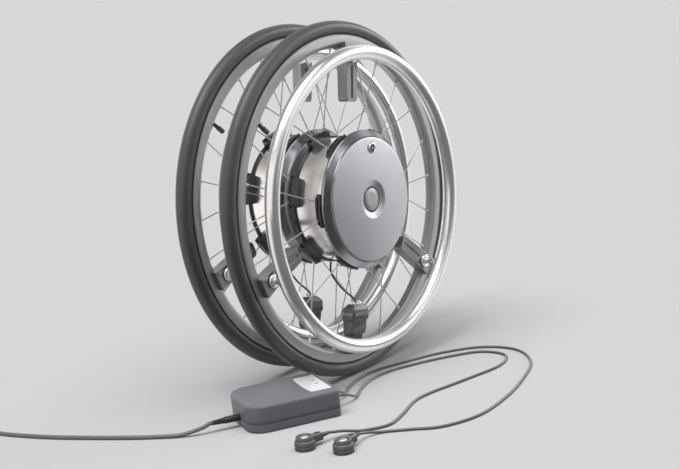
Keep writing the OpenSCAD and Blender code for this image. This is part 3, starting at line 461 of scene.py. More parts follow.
TYRE_LOW, TYRE_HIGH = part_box("front_tyre")
TYRE_R = (TYRE_HIGH.z - TYRE_LOW.z) / 2 / MM
TYRE_HALF = (TYRE_HIGH.y - TYRE_LOW.y) / 2 / MM
TYRE_MID = TYRE_R - TYRE_HALF
TYRE_POINTS, TYRE_SHARP = 168, 30.0
TREAD_REACH, TREAD_PITCH = math.radians(62), math.radians(10.5)
TREAD_DEPTH, TREAD_GROOVE_SHARE = 0.4, 0.14
WALL_RINGS = (math.radians(84), math.radians(108))
WALL_RING_HALF, WALL_RING_DEPTH = math.radians(1.7), 0.35
RIM_EDGE, RIM_INNER, RIM_WELL = 271.0, 250.0, 263.0
RIM_HALF, RIM_NOSE, RIM_FLARE, RIM_ROUND = 10.8, 6.5, 6.3, 1.6
RIM_LINE, RIM_LINE_HALF, RIM_LINE_DEPTH = 2.4, 0.6, 0.5
BEAD_HALF, BEAD_FIT, BEAD_LIFT = 8.9, 0.1, 0.2
# The black line where the tyre meets the rim: out from the rim's edge, and in from its side
BEAD_LINE = [(-1.5, 1.9), (0.1, 0.5), (2.6, 0.3), (3.2, 1.9)]
PUSH_R, PUSH_TUBE, PUSH_OFFSET, PUSH_POINTS = 240.5, 12.0, 51.0, 40


def tyre_outline():
    """A slick tyre: round section, fine grooves round the tread and two rings on each side wall."""
    bead = math.pi - math.asin(BEAD_HALF / TYRE_HALF)
    points = []
    for k in range(TYRE_POINTS + 1):
        a = -bead + 2 * bead * k / TYRE_POINTS
        phase = abs(a / TREAD_PITCH - round(a / TREAD_PITCH))
        dip = TREAD_DEPTH if abs(a) < TREAD_REACH and phase < TREAD_GROOVE_SHARE else 0.0
        dip += WALL_RING_DEPTH * sum(abs(abs(a) - ring) < WALL_RING_HALF for ring in WALL_RINGS)
        r = TYRE_HALF - dip
        points.append((TYRE_MID + r * math.cos(a), r * math.sin(a)))
    inside = RIM_WELL + BEAD_LIFT
    return [(inside, -BEAD_HALF)] + points + [(inside, BEAD_HALF)]


def bead_outline(side):
    """The black line, on one side of the wheel."""
    return [(RIM_EDGE + outwards, side * (RIM_HALF - inwards)) for outwards, inwards in BEAD_LINE]


def rim_outline():
    """The rim's section, with a fine line near each edge and a well that takes the tyre's bead."""
    line, seat = RIM_EDGE - RIM_LINE, BEAD_HALF + BEAD_FIT
    side = [(RIM_INNER, RIM_NOSE), (RIM_INNER + RIM_FLARE, RIM_HALF), (line - RIM_LINE_HALF, RIM_HALF),
            (line, RIM_HALF - RIM_LINE_DEPTH), (line + RIM_LINE_HALF, RIM_HALF), (RIM_EDGE, RIM_HALF),
            (RIM_EDGE, seat), (RIM_WELL, seat)]
    return rounded(side + [(r, -z) for r, z in reversed(side)], RIM_ROUND)


def push_rim_outline():
    angles = [2 * math.pi * k / PUSH_POINTS for k in range(PUSH_POINTS)]
    return [(PUSH_R + PUSH_TUBE * math.cos(a), PUSH_OFFSET + PUSH_TUBE * math.sin(a)) for a in angles]


on_wheels("tyre", lathe("tyre_look", tyre_outline(), STEPS_WHEEL, TYRE_SHARP), "tyre", "tyre")
for side, name in ((1, "outer"), (-1, "inner")):
    on_wheels(f"bead_{name}", lathe(f"bead_{name}_look", bead_outline(side), STEPS_WHEEL), "tube")
on_wheels("rim", lathe("rim_look", rim_outline(), STEPS_WHEEL), "rim", "rim")
push_rim = lathe("push_rim_look", push_rim_outline(), STEPS_WHEEL)
on_wheels("push_rim", push_rim, "push_rim", "push_rim", "push_rim")


# Hub: drum, bevelled ring, cover, release button and black rings of painted shade in their gaps, in
# millimetres about the wheel's axis

DRUM_R, DRUM_IN, DRUM_ROUND = 102.0, 99.0, 0.6
DRUM_BACK, DRUM_FRONT = -21.0, 39.0
RING_BACK, RING_FRONT, RING_WEB = 42.0, 56.0, 4.0
RING_BORE, RING_R, RING_LIP = 30.5, 114.0, 102.1
RING_STEP_IN, RING_STEP_H = 0.8, 1.2
RING_ROUND, RING_ROUND_STEPS = 0.5, 3
LIP_FOOT, LIP_TOP, LIP_H = 1.3, 1.0, 1.4
COVER_R, COVER_TOP, COVER_RISE = 102.0, 62.2, 4.7
COVER_SEAT, COVER_SEAT_W = 49.5, 4.0
COVER_WALL, COVER_EDGE, COVER_POINTS, COVER_BACK_START = 3.0, 0.7, 32, 4
EDGE_IN_SHARE, EDGE_DROP_SHARE = 0.3, 0.35
CUP_R, CUP_FLOOR, CUP_LEDGE, CUP_BRIM = 30.5, 57.7, 1.2, 0.9
# The cup's slope: out and up from its ledge, then in and down from its brim twice
CUP_FOOT, CUP_SHOULDER, CUP_LIP = (0.9, 0.25), (1.0, 0.75), (0.2, 0.22)
BUTTON_R, BUTTON_FACE, BUTTON_H, BUTTON_GAP = 20.0, 58.5, 4.0, 1.0
BUTTON_HOLE_FIT, BUTTON_HOLE_ROUND = 0.4, 0.3
BUTTON_FOOT = 0.4
# The button's brim: in from its side, and down from its face
BUTTON_BRIM = [(0.0, 0.9), (0.3, 0.4), (1.0, 0.1), (1.8, 0.0), (2.2, 0.35), (2.6, 0.35), (3.0, 0.1)]
DISH_SHARE, DISH_HALFWAY, DISH_DEPTH = 0.5, 0.25, 0.35
# The plunger's head, its waist that takes the balls, and its rod: radius, and place on the axis
PLUNGER = [(0.0, -46.7), (1.85, -46.7), (2.05, -46.4), (2.05, -44.5), (0.85, -40.5), (0.85, -36.5),
           (3.45, -33.0)]
# Black rings of painted shade that darken the gap round the button and the gap round the cover
GAP_SHADE_H, GAP_SHADE_PROUD, GAP_SHADE_ROUND = 1.1, 0.35, 0.3
BUTTON_SHADE_IN, BUTTON_SHADE_OUT, COVER_SHADE_IN = 0.3, 1.5, 0.05


def drum_outline():
    return rounded([(DRUM_IN, DRUM_BACK), (DRUM_R, DRUM_BACK), (DRUM_R, DRUM_FRONT), (DRUM_IN, DRUM_FRONT)],
                   DRUM_ROUND)


def ring_outline():
    """The bevelled ring round the cover, with a fine step at its front edge."""
    web, seat = RING_BACK + RING_WEB, RING_LIP - COVER_SEAT_W
    corners = [(RING_BORE, RING_BACK), (RING_R, RING_BACK), (RING_R, web),
               (RING_R - RING_STEP_IN, web + RING_STEP_H), (RING_LIP + LIP_FOOT, RING_FRONT - LIP_H),
               (RING_LIP + LIP_TOP, RING_FRONT), (RING_LIP, RING_FRONT), (RING_LIP, COVER_SEAT),
               (seat, COVER_SEAT), (seat, web), (RING_BORE, web)]
    return rounded(corners, RING_ROUND, RING_ROUND_STEPS)


def dome(r):
    return COVER_TOP - COVER_RISE * (r / COVER_R) ** 2


def cover_outline():
    """A domed disc with a conical cup round the button."""
    hole, start, end = BUTTON_R + BUTTON_HOLE_FIT, CUP_R + CUP_BRIM, COVER_R - COVER_EDGE
    arc = [start + (end - start) * k / COVER_POINTS for k in range(COVER_POINTS + 1)]
    face = [(r, dome(r)) for r in arc]
    edge = dome(COVER_R)
    rim = [(COVER_R - COVER_EDGE * EDGE_IN_SHARE, edge - COVER_EDGE * EDGE_DROP_SHARE),
           (COVER_R, edge - COVER_EDGE), (COVER_R, COVER_SEAT), (COVER_R - COVER_WALL, COVER_SEAT)]
    back = [(r - COVER_WALL, dome(r) - COVER_WALL) for r in reversed(arc[COVER_BACK_START:])]
    under, ledge, brim = CUP_FLOOR - COVER_WALL, hole + CUP_LEDGE, dome(CUP_R)
    cup = [(CUP_R, under), (hole, under), (hole, CUP_FLOOR - BUTTON_HOLE_ROUND),
           (hole + BUTTON_HOLE_ROUND, CUP_FLOOR)]
    slope = [(ledge, CUP_FLOOR), (ledge + CUP_FOOT[0], CUP_FLOOR + CUP_FOOT[1]),
             (CUP_R - CUP_SHOULDER[0], brim - CUP_SHOULDER[1]), (CUP_R - CUP_LIP[0], brim - CUP_LIP[1])]
    return face + rim + back + cup + slope


def button_outline():
    """The button's dished face and skirt, and the plunger behind it that frees the locking balls."""
    back, face, r = BUTTON_FACE - BUTTON_H, BUTTON_FACE, BUTTON_R - BUTTON_GAP
    skirt = [(PLUNGER[-1][0], back), (r - BUTTON_FOOT, back), (r, back + BUTTON_FOOT)]
    brim = [(r - inwards, face - down) for inwards, down in BUTTON_BRIM]
    dish = [(r * DISH_SHARE, face - DISH_HALFWAY), (0.0, face - DISH_DEPTH)]
    return PLUNGER + skirt + brim + dish


def gap_shade_outline(inner, outer, ledge):
    """A thin black ring with a rounded top, let into a ledge: painted shade that darkens a gap."""
    top = ledge + GAP_SHADE_PROUD
    return [(inner, top - GAP_SHADE_H), (outer, top - GAP_SHADE_H), (outer, top - GAP_SHADE_ROUND),
            (outer - GAP_SHADE_ROUND, top), (inner + GAP_SHADE_ROUND, top), (inner, top - GAP_SHADE_ROUND)]


# Charge socket in the cover
SOCKET_AT, SOCKET_R, SOCKET_PROUD, SOCKET_FIT = 84.0, 9.0, 2.6, 0.1
SOCKET_HOLE = (40.0, 80.0)
# Its plated ring with a well inside, the insulator in the well, and the pin: radius, and down from its top
SOCKET_RING = [(0.0, 10.0), (SOCKET_R, 10.0), (SOCKET_R, 0.9), (8.7, 0.3), (8.1, 0.0), (7.0, 0.0),
               (6.6, 0.5), (6.3, 4.5), (0.0, 4.5)]
SOCKET_SEAT = [(2.4, 4.7), (6.35, 4.7), (6.35, 3.8), (5.6, 3.2), (3.4, 3.2), (2.4, 3.8)]
SOCKET_PIN = [(0.0, 4.8), (2.3, 4.8), (2.3, 1.2), (1.6, 0.6), (0.8, 0.6), (0.6, 1.1), (0.0, 1.1)]


def socket_piece(name, points, steps):
    """A turned piece of the socket, whose top stands a little proud of the cover."""
    top = dome(SOCKET_AT) + SOCKET_PROUD
    return lathe(name, [(r, top - down) for r, down in points], steps)


# Cap of the tyre's valve, from its end outwards along the wheel's radius
VALVE_ANGLE, VALVE_END = math.radians(150), 220.0
CAP_R, CAP_GROOVE_R, CAP_NOSE_R, CAP_SHOULDER_R, CAP_FOOT_R = 4.3, 3.95, 2.9, 3.9, 3.3
CAP_NOSE, CAP_SHOULDER, CAP_FIRST, CAP_LAST, CAP_FOOT = -0.2, 0.4, 1.0, 11.8, 12.4
CAP_GROOVES, CAP_PITCH, CAP_LAND, CAP_SLOPE, CAP_GROOVE = 7, 1.5, 0.8, 0.2, 0.4


def valve_outline():
    points = [(0.0, CAP_NOSE), (CAP_NOSE_R, CAP_NOSE), (CAP_SHOULDER_R, CAP_SHOULDER)]
    for k in range(CAP_GROOVES):
        land = CAP_FIRST + CAP_PITCH * k
        groove = land + CAP_LAND + CAP_SLOPE
        points += [(CAP_R, land), (CAP_R, land + CAP_LAND)]
        points += [(CAP_GROOVE_R, groove), (CAP_GROOVE_R, groove + CAP_GROOVE)]
    return points + [(CAP_R, CAP_LAST), (CAP_FOOT_R, CAP_FOOT), (0.0, CAP_FOOT)]


cover = with_hole(lathe("cover_look", cover_outline()), SOCKET_R + SOCKET_FIT, 0, SOCKET_AT, *SOCKET_HOLE)
# Painted shade: black rings fill the gap round the button and the gap round the cover
button_gap_shade = gap_shade_outline(BUTTON_R - BUTTON_GAP + BUTTON_SHADE_IN, BUTTON_R + BUTTON_SHADE_OUT, CUP_FLOOR)
cover_gap_shade = gap_shade_outline(RING_LIP - COVER_SHADE_IN, RING_LIP + LIP_TOP, RING_FRONT)
on_wheels("drum", lathe("drum_look", drum_outline()), "drum", "drum")
on_wheels("end_shield", lathe("end_shield_look", ring_outline()), "shield", "end_shield")
on_wheels("cover", cover, "cover", "hub_cover", at=rolled)
on_wheels("button", lathe("button_look", button_outline(), STEPS_KNOB), "button", "release_button", "button")
# Painted shade: the black rings in the gaps round the button and the cover
on_wheels("button_gap_shade", lathe("button_gap_shade_look", button_gap_shade, STEPS_KNOB), "black_plastic")
on_wheels("cover_gap_shade", lathe("cover_gap_shade_look", cover_gap_shade), "black_plastic")
socket = socket_piece("socket_look", SOCKET_RING, STEPS_SMALL)
socket_seat = socket_piece("socket_seat_look", SOCKET_SEAT, STEPS_PIN)
socket_pin = socket_piece("socket_pin_look", SOCKET_PIN, STEPS_PIN)
valve_cap = lathe("valve_cap", valve_outline(), STEPS_TINY)
for w in WHEELS:
    body = f"{w}_wheel"
    at_valve = rolled(w) @ spun(VALVE_ANGLE, "Z") @ spun(QUARTER, "Y") @ shifted(0, 0, VALVE_END)
    at_socket = rolled(w) @ shifted(0, SOCKET_AT, 0)
    place(f"{w}_valve_cap", valve_cap, at_valve, body, "tube", "valve")
    place(f"{w}_socket_look", socket, at_socket, body, "contact", replaced=[f"{w}_charge_socket"])
    place(f"{w}_socket_seat_look", socket_seat, at_socket, body, "black_plastic")
    place(f"{w}_socket_pin_look", socket_pin, at_socket, body, "contact")


# Charger, in millimetres from the middle of its foot, which is placed in metres

CHARGER_PLACE = Vector((-.243, -.033, 0))
CHARGER_TURN = math.radians(-30)
CASE_L, CASE_W, CASE_H = 147.0, 118.0, 42.6
CASE_CORNERS = [(1, -1, 8.0), (1, 1, 8.0), (-1, 1, 30.0), (-1, -1, 30.0)]
CASE_CORNER_STEPS = 12
CASE_DRAFT, CASE_EDGE, CASE_EDGE_SHARE, CASE_EDGE_STEPS = 1.0, 5.0, 0.62, 8
PARTING, PARTING_GAP, PARTING_ROUND, PARTING_RISE = 13.0, 0.35, 0.25, 0.3
FLAT_INSET = 1.2
TOP_LEVELS, BASE_LEVEL = (20.0, 30.0), 4.0
# The rounding under the base: in from its side, and up from the floor
BASE_FOOT = [(1.6, 0.0), (0.6, 0.35), (0.1, 1.4)]
CORE_INSET, CORE_HALF = 0.7, 1.2
PLATE_LEFT, PLATE_RIGHT, PLATE_HALF, PLATE_BULGE = 30.0, 66.0, 42.0, 4.0
PLATE_ARC, PLATE_ARC_STEP = 80, 10
PLATE_SUNK, PLATE_PROUD, PLATE_BEVEL = 0.3, 0.25, 0.1
LENSES = ((55.0, 12.0), (55.0, -6.0))
LENS_R, LENS_SUNK, LENS_PROUD, LENS_EDGE = 2.4, 0.4, 0.5, 0.3
LENS_DOME_SHARE, LENS_DOME = 0.7, 0.08


def case_ring(inset, z):
    """The case's outline at one height, with large corners at the mains end."""
    ring = []
    for sx, sy, radius in CASE_CORNERS:
        first = math.atan2(sy, sx) - math.pi / 4
        r = radius - inset
        for k in range(CASE_CORNER_STEPS + 1):
            a = first + QUARTER * k / CASE_CORNER_STEPS
            ring.append((sx * (CASE_L / 2 - radius) + r * math.cos(a),
                         sy * (CASE_W / 2 - radius) + r * math.sin(a), z))
    return ring


def drafted(z):
    """How far the case's side stands in at a height."""
    return CASE_DRAFT * max(0.0, 1 - z / (CASE_H - CASE_EDGE))


def case_top():
    low, edge, inset = PARTING + PARTING_GAP, CASE_H - CASE_EDGE, CASE_EDGE * CASE_EDGE_SHARE
    rings = [case_ring(drafted(low) + FLAT_INSET, low), case_ring(drafted(low) + PARTING_ROUND, low),
             case_ring(drafted(low), low + PARTING_RISE)]
    rings += [case_ring(drafted(z), z) for z in (*TOP_LEVELS, edge)]
    for k in range(1, CASE_EDGE_STEPS + 1):
        a = QUARTER * k / CASE_EDGE_STEPS
        rings.append(case_ring(inset * (1 - math.cos(a)), edge + CASE_EDGE * math.sin(a)))
    rings.append(case_ring(inset + FLAT_INSET, CASE_H))
    return stack("charger_top_look", rings)


def case_base():
    high = PARTING - PARTING_GAP
    rings = [case_ring(CASE_DRAFT + inset, z) for inset, z in BASE_FOOT]
    rings += [case_ring(drafted(z), z) for z in (BASE_LEVEL, high - PARTING_RISE)]
    rings += [case_ring(drafted(high) + PARTING_ROUND, high), case_ring(drafted(high) + FLAT_INSET, high)]
    return stack("charger_base_look", rings)


def case_core():
    """The dark lip that shows in the parting line."""
    inset = drafted(PARTING) + CORE_INSET
    return stack("charger_lip_look", [case_ring(inset, PARTING + side * CORE_HALF) for side in (-1, 1)])


def plate_outline():
    """A film plate at the lead end, its inner side curved."""
    angles = [math.radians(a) for a in range(-PLATE_ARC, PLATE_ARC + 1, PLATE_ARC_STEP)]
    curve = [(PLATE_LEFT + PLATE_BULGE * (1 - math.cos(a)), -PLATE_HALF * math.sin(a)) for a in angles]
    return [(PLATE_RIGHT, -PLATE_HALF), (PLATE_RIGHT, PLATE_HALF)] + curve


def lens_outline():
    """A low dome over a lamp in the plate."""
    low, high = CASE_H - LENS_SUNK, CASE_H + LENS_PROUD
    return [(0.0, low), (LENS_R, low), (LENS_R, high - LENS_EDGE),
            (LENS_R * LENS_DOME_SHARE, high - LENS_DOME), (0.0, high)]


at_charger = Matrix.Translation(foot + CHARGER_PLACE) @ spun(CHARGER_TURN, "Z")
film = bevelled("charger_plate", plate_outline(), CASE_H - PLATE_SUNK, CASE_H + PLATE_PROUD, PLATE_BEVEL)
lens = lathe("charger_lens", lens_outline(), STEPS_TINY)
place("charger_top_look", case_top(), at_charger, "stand", "case", replaced=["charger_top"])
place("charger_base_look", case_base(), at_charger, "stand", "case_base", "case", ["charger_base"])
place("charger_lip_look", case_core(), at_charger, "stand", "case_base")
place("charger_plate", film, at_charger, "stand", "case", "plate")
for index, (x, y) in enumerate(LENSES):
    place(f"charger_lens_{index}", lens, at_charger @ shifted(x, y, 0), "stand", "case", "lens")


# Charge plugs: places in metres from under the front wheel, turns in degrees, and sizes in millimetres

CHARGE_PLUGS = {"a": ((-.346, -.158, 0), -14.0), "b": ((-.335, -.219, 0), 6.0)}
PLUG_R, PLUG_H, PLUG_AXIS = 15.0, 20.0, 12.0
# The puck's side with its groove, up to the raised ring: in from its radius, and up from the floor
PLUG_SIDE = [(1.3, 0.0), (0.3, 0.5), (0.0, 1.6), (0.0, 5.6), (0.5, 6.0), (0.5, 6.8), (0.0, 7.2), (0.0, 11.8),
             (0.4, 12.8), (1.7, 13.2), (2.4, 13.9)]
# The raised ring and the well inside it: in from the puck's radius, and down from its top
PLUG_RING = [(2.4, 1.3), (2.8, 0.4), (3.6, 0.0), (4.8, 0.0), (5.6, 0.5), (6.0, 1.2), (6.0, 3.8), (6.4, 4.1)]
BALL_R, BALL_FOOT, BALL_RISE, BALL_STEP = 6.4, 17.0, 4.0, 9
# The collar under the ball: radius, and height
PLUG_COLLAR = [(0.0, 15.6), (7.4, 15.6), (7.4, 16.3), (6.9, 16.7)]
# Each tapered block of a plug: its start and end, its half widths there, its foot and top, and its bevel
PLUG_NECK = (11.0, 30.0), (6.5, 5.8), (6.5, 17.5), 1.3
PLUG_FRAME = (17.0, 28.0), (4.9, 4.4), (17.2, 17.75), 0.2
PLUG_PANEL = (18.0, 27.0), (3.9, 3.4), (17.4, 17.9), 0.2
# Strain reliefs: length, thick and thin radius, and the number of rings
PLUG_RELIEF, MAINS_RELIEF = (13.0, 3.6, 2.45, 5), (18.0, 4.6, 3.5, 4)
RELIEF_GAP_SHARE, RELIEF_ROUND, RELIEF_LEAD = 0.3, 0.2, 0.3


def plug_body_outline():
    """A puck with a groove round it, a raised ring on top and a well round the contact."""
    side = [(PLUG_R - inwards, up) for inwards, up in PLUG_SIDE]
    ring = [(PLUG_R - inwards, PLUG_H - down) for inwards, down in PLUG_RING]
    return [(0.0, 0.0)] + side + ring + [(0.0, ring[-1][1])]


def plug_pin_outline():
    """The plated ball in the well, on its collar."""
    angles = [math.radians(a) for a in range(0, 90, BALL_STEP)]
    ball = [(BALL_R * math.cos(a), BALL_FOOT + BALL_RISE * math.sin(a)) for a in angles]
    return PLUG_COLLAR + ball + [(0.0, BALL_FOOT + BALL_RISE)]


def tapered_block(name, ends, halves, heights, bevel):
    start, end = ends
    wide, narrow = halves
    outline = [(start, -wide), (end, -narrow), (end, narrow), (start, wide)]
    return bevelled(name, outline, *heights, bevel)


def relief_outline(length, thick, thin, rings):
    """A tapered sleeve with grooves, along its own axis."""
    points = [(0.0, 0.0)]
    pitch = length / rings
    for k in range(rings):
        r = thick + (thin - thick) * k / rings
        start, end = pitch * k, pitch * (k + 1)
        groove = end - pitch * RELIEF_GAP_SHARE
        points += [(r - RELIEF_ROUND, start), (r, start + RELIEF_LEAD), (r, groove - RELIEF_ROUND),
                   (r - RELIEF_ROUND, groove), (thin, groove), (thin, end)]
    return points + [(0.0, length)]


plug_body = lathe("plug_body", plug_body_outline(), STEPS_KNOB)
plug_pin = lathe("plug_pin", plug_pin_outline(), STEPS_PIN)
plug_neck = tapered_block("plug_neck", *PLUG_NECK)
plug_frame = tapered_block("plug_frame", *PLUG_FRAME)
plug_panel = tapered_block("plug_panel", *PLUG_PANEL)
plug_relief = lathe("plug_relief", relief_outline(*PLUG_RELIEF), STEPS_PIN)
for key, (spot, degrees) in CHARGE_PLUGS.items():
    at_plug = Matrix.Translation(foot + Vector(spot)) @ spun(math.radians(degrees), "Z")
    neck_end = at_plug @ shifted(PLUG_NECK[0][1], 0, PLUG_AXIS) @ spun(QUARTER, "Y")
    node = f"charge_plug_{key}"
    place(f"{node}_body", plug_body, at_plug, "stand", "plug", replaced=[node])
    place(f"{node}_pin", plug_pin, at_plug, "stand", "contact")
    place(f"{node}_neck", plug_neck, at_plug, "stand", "plug")
    place(f"{node}_frame", plug_frame, at_plug, "stand", "plug", "plug_light")
    place(f"{node}_panel", plug_panel, at_plug, "stand", "plug", "black_plastic")
    place(f"{node}_relief", plug_relief, neck_end, "stand", "plug")


# Mains connector at the charger's round end, in millimetres out from the case

INLET_AXIS = 15.0
CONNECTOR_R, CONNECTOR_IN, CONNECTOR_OUT = 5.3, -12.0, 24.0
# Where each groove starts, and its depth
CONNECTOR_GROOVES = ((3.0, 0.5), (14.0, 0.4))
GROOVE_SLOPE, GROOVE_W = 0.4, 1.8
# The rounded end: in from the side, and down from the end
CONNECTOR_END = [(0.0, 2.5), (0.6, 0.8), (1.4, 0.0)]


def connector_outline():
    r = CONNECTOR_R
    points = [(0.0, CONNECTOR_IN), (r, CONNECTOR_IN)]
    for start, depth in CONNECTOR_GROOVES:
        end = start + GROOVE_W
        points += [(r, start), (r - depth, start + GROOVE_SLOPE), (r - depth, end - GROOVE_SLOPE), (r, end)]
    points += [(r - inwards, CONNECTOR_OUT - down) for inwards, down in CONNECTOR_END]
    return points + [(0.0, CONNECTOR_OUT)]


at_inlet = at_charger @ shifted(-CASE_L / 2, 0, INLET_AXIS) @ spun(-QUARTER, "Y")
at_relief = at_inlet @ shifted(0, 0, CONNECTOR_OUT)
barrel = lathe("mains_connector_barrel", connector_outline(), STEPS_SMALL)
mains_relief = lathe("mains_connector_relief", relief_outline(*MAINS_RELIEF), STEPS_PIN)
connector_pieces = [
    place("mains_connector_barrel", barrel, at_inlet, "stand", "black_plastic",
          replaced=["mains_connector"]),
    place("mains_connector_relief", mains_relief, at_relief, "stand", "black_plastic"),
]

for key, route in LEAD_ROUTES.items():
    lead = smooth_route(route, LEAD_D / 2)
    lay_cord(f"lead_{key}", lead, LEAD_D, [f"charge_lead_{key}"])
mains = smooth_route(MAINS_ROUTE, MAINS_D / 2) + coil_path()
lay_cord("mains_lead", mains, MAINS_D, ["mains_cord", "mains_coil"])


# Push rim studs, and sensor boxes with their ribs, gland plate and screws, in millimetres and degrees

BRACKET_ANGLES = (90, 210, 330)
STUD_AT = 236.0
BOLT_R, BOLT_END = 3.9, 9.3
WASHER_R, WASHER_FOOT = 11.5, 20.3
# The washer's dome and the groove in it: in from its side, and up from its foot
WASHER_DOME = [(0.9, 0.0), (0.0, 0.7), (0.0, 2.3), (0.7, 3.7), (2.1, 4.6), (3.3, 4.8), (4.1, 4.3),
               (4.9, 4.1)]
# The nut and the shank that meets the push rim: radius, and height
STUD_SHANK = [(6.6, 26.6), (6.1, 27.3), (4.9, 27.5), (4.9, 29.6), (5.3, 30.2), (5.3, 40.2), (0.0, 40.2)]
SENSOR_ANGLE, SENSOR_END, SENSOR_MID = 270, 174.0, 21.0
SENSOR_L, SENSOR_W, SENSOR_D, SENSOR_BACK = 85.0, 43.0, 26.0, 8.0
SENSOR_CORNER, SENSOR_CORNER_STEPS, SENSOR_SHARP = 4.5, 5, 30.0
# Sections of the sensor box: shares of its length, width and depth, and how far it lifts off its back
SENSOR_SHARES = [
    (0.0, 0.66, 0.44, 0.28), (0.012, 0.72, 0.5, 0.25), (0.085, 0.96, 0.92, 0.04), (0.11, 1.0, 0.97, 0.015),
    (0.285, 1.0, 1.0, 0.0), (0.305, 0.97, 0.98, 0.0), (0.325, 0.9, 0.92, 0.0), (0.44, 0.88, 0.89, 0.0),
    (0.565, 0.85, 0.84, 0.0), (0.585, 0.83, 0.80, 0.0), (0.61, 0.75, 0.66, 0.0), (0.8, 0.72, 0.6, 0.0),
    (0.98, 0.66, 0.5, 0.0),
]
RIB_LOW, RIB_HIGH, RIB_W, RIB_PITCH, RIB_PROUD = 187.0, 193.0, 2.2, 4.6, 1.0
RIB_CORNERS = ((-1, RIB_LOW), (1, RIB_LOW), (1, RIB_HIGH), (-1, RIB_HIGH))
RIBS_EACH_WAY, FLANK_RIBS_EACH_WAY = 3, 2
FLANK_PITCH_SHARE, FLANK_PROUD_SHARE = 0.9, 0.6
BAR_SUNK_SHARE, BAR_TOP_SHARES, BAR_SHARP = 0.4, Vector((0.6, 0.9, 0.6)), 20.0
GLAND_HALF_L, GLAND_HALF_W, GLAND_ROUND = 14.0, 5.2, 3.0
GLAND_SUNK, GLAND_H, GLAND_BEVEL = 0.4, 1.0, 0.3
SCREW_PLACES, SCREW_LIFT = (-8.2, 8.2), 0.8
# A round screw head with a socket in it: radius, and height
SCREW_HEAD = [(0.0, -0.5), (4.0, -0.5), (4.0, 2.2), (3.5, 3.0), (2.2, 3.3), (2.0, 2.2), (0.0, 2.2)]


def stud_outline():
    """A domed washer with a dark groove, a nut and the shank that meets the push rim."""
    bolt = [(0.0, BOLT_END), (BOLT_R, BOLT_END), (BOLT_R, WASHER_FOOT)]
    washer = [(WASHER_R - inwards, WASHER_FOOT + up) for inwards, up in WASHER_DOME]
    return bolt + washer + STUD_SHANK


def radius_at(angle):
    """A place on a wheel with +y pointing out along one of its radii."""
    return spun(math.radians(angle - 90), "Z")


def sensor_ring(along, wide, deep, lift):
    """The sensor box's section at one place along the radius, with rounded corners."""
    low = SENSOR_BACK + SENSOR_D * lift
    half, high = SENSOR_W * wide / 2, low + SENSOR_D * deep
    corners = [(-half, low), (half, low), (half, high), (-half, high)]
    section = rounded(corners, SENSOR_CORNER, SENSOR_CORNER_STEPS)
    return [(x, SENSOR_END + SENSOR_L * along, z) for x, z in section]


def bars(name, feet):
    """Small bars with sloping flanks, each from its foot's four corners and the way that it stands up."""
    verts, faces = [], []
    for corners, up in feet:
        low = len(verts)
        high = low + len(corners)
        middle = sum(corners, Vector()) / len(corners)
        verts += [tuple(c - up * BAR_SUNK_SHARE) for c in corners]
        verts += [tuple(middle + (c - middle) * BAR_TOP_SHARES + up) for c in corners]
        faces += [(high, high + 1, high + 2, high + 3), (low + 3, low + 2, low + 1, low)]
        for k, j in ((0, 1), (1, 2), (2, 3), (3, 0)):
            faces.append((low + k, low + j, high + j, high + k))
    return mesh_object(name, verts, faces, BAR_SHARP)


def sensor_ribs():
    """A row of ribs round the collar: over its face and both flanks."""
    feet = []
    front, flank, half = SENSOR_BACK + SENSOR_D, SENSOR_W / 2, RIB_W / 2
    for k in range(-RIBS_EACH_WAY, RIBS_EACH_WAY + 1):
        x = k * RIB_PITCH
        corners = [Vector((x + side * half, y, front)) for side, y in RIB_CORNERS]
        feet.append((corners, Vector((0, 0, RIB_PROUD))))
    for way in (-1, 1):
        up = Vector((way * RIB_PROUD * FLANK_PROUD_SHARE, 0, 0))
        for k in range(-FLANK_RIBS_EACH_WAY, FLANK_RIBS_EACH_WAY + 1):
            z = SENSOR_MID + k * RIB_PITCH * FLANK_PITCH_SHARE
            feet.append(([Vector((way * flank, y, z + side * half)) for side, y in RIB_CORNERS], up))
    return bars("sensor_ribs", feet)


def gland_plate():
    x, y = GLAND_HALF_L, GLAND_HALF_W
    outline = rounded([(-x, -y), (x, -y), (x, y), (-x, y)], GLAND_ROUND)
    return bevelled("sensor_plate", outline, -GLAND_SUNK, GLAND_H, GLAND_BEVEL)


stud = lathe("stud", stud_outline(), STEPS_SMALL)
screw = lathe("sensor_screw", SCREW_HEAD, STEPS_TINY)
sensor_body = stack("sensor_body", [sensor_ring(*shares) for shares in SENSOR_SHARES], SENSOR_SHARP)
ribs, gland = sensor_ribs(), gland_plate()
for w in WHEELS:
    body = f"{w}_wheel"
    for index, angle in enumerate(BRACKET_ANGLES):
        at_stud = rolled(w) @ radius_at(angle) @ shifted(0, STUD_AT, 0)
        place(f"{w}_stud_{index}", stud, at_stud, f"{w}_push_rim", "contact",
              replaced=[f"{w}_push_rim_studs"] if index == 0 else ())
    at_sensor = rolled(w) @ radius_at(SENSOR_ANGLE)
    on_end = at_sensor @ shifted(0, SENSOR_END, SENSOR_MID) @ spun(QUARTER, "X")
    place(f"{w}_sensor_body", sensor_body, at_sensor, body, "sensor", replaced=[f"{w}_sensor_box"])
    place(f"{w}_sensor_ribs", ribs, at_sensor, body, "sensor", "sensor_rib")
    place(f"{w}_sensor_plate", gland, on_end, body, "contact")
    for index, x in enumerate(SCREW_PLACES):
        place(f"{w}_sensor_screw_{index}", screw, on_end @ shifted(x, 0, SCREW_LIFT), body, "contact")


# CAD nodes that stay get a finish, and a soft edge, in millimetres, where their edges show

SOFT_EDGES = {"spoke_flanges": 0.7, "rim_brackets": 1.2, "back_plate": 0.6, "mains_plug": 1.2,
              "spindles": 0.5}
EDGE_WELD = 1e-6
EDGE_FLAT, EDGE_FROM = math.radians(0.5), math.radians(35)
EDGE_SEGMENTS = 3


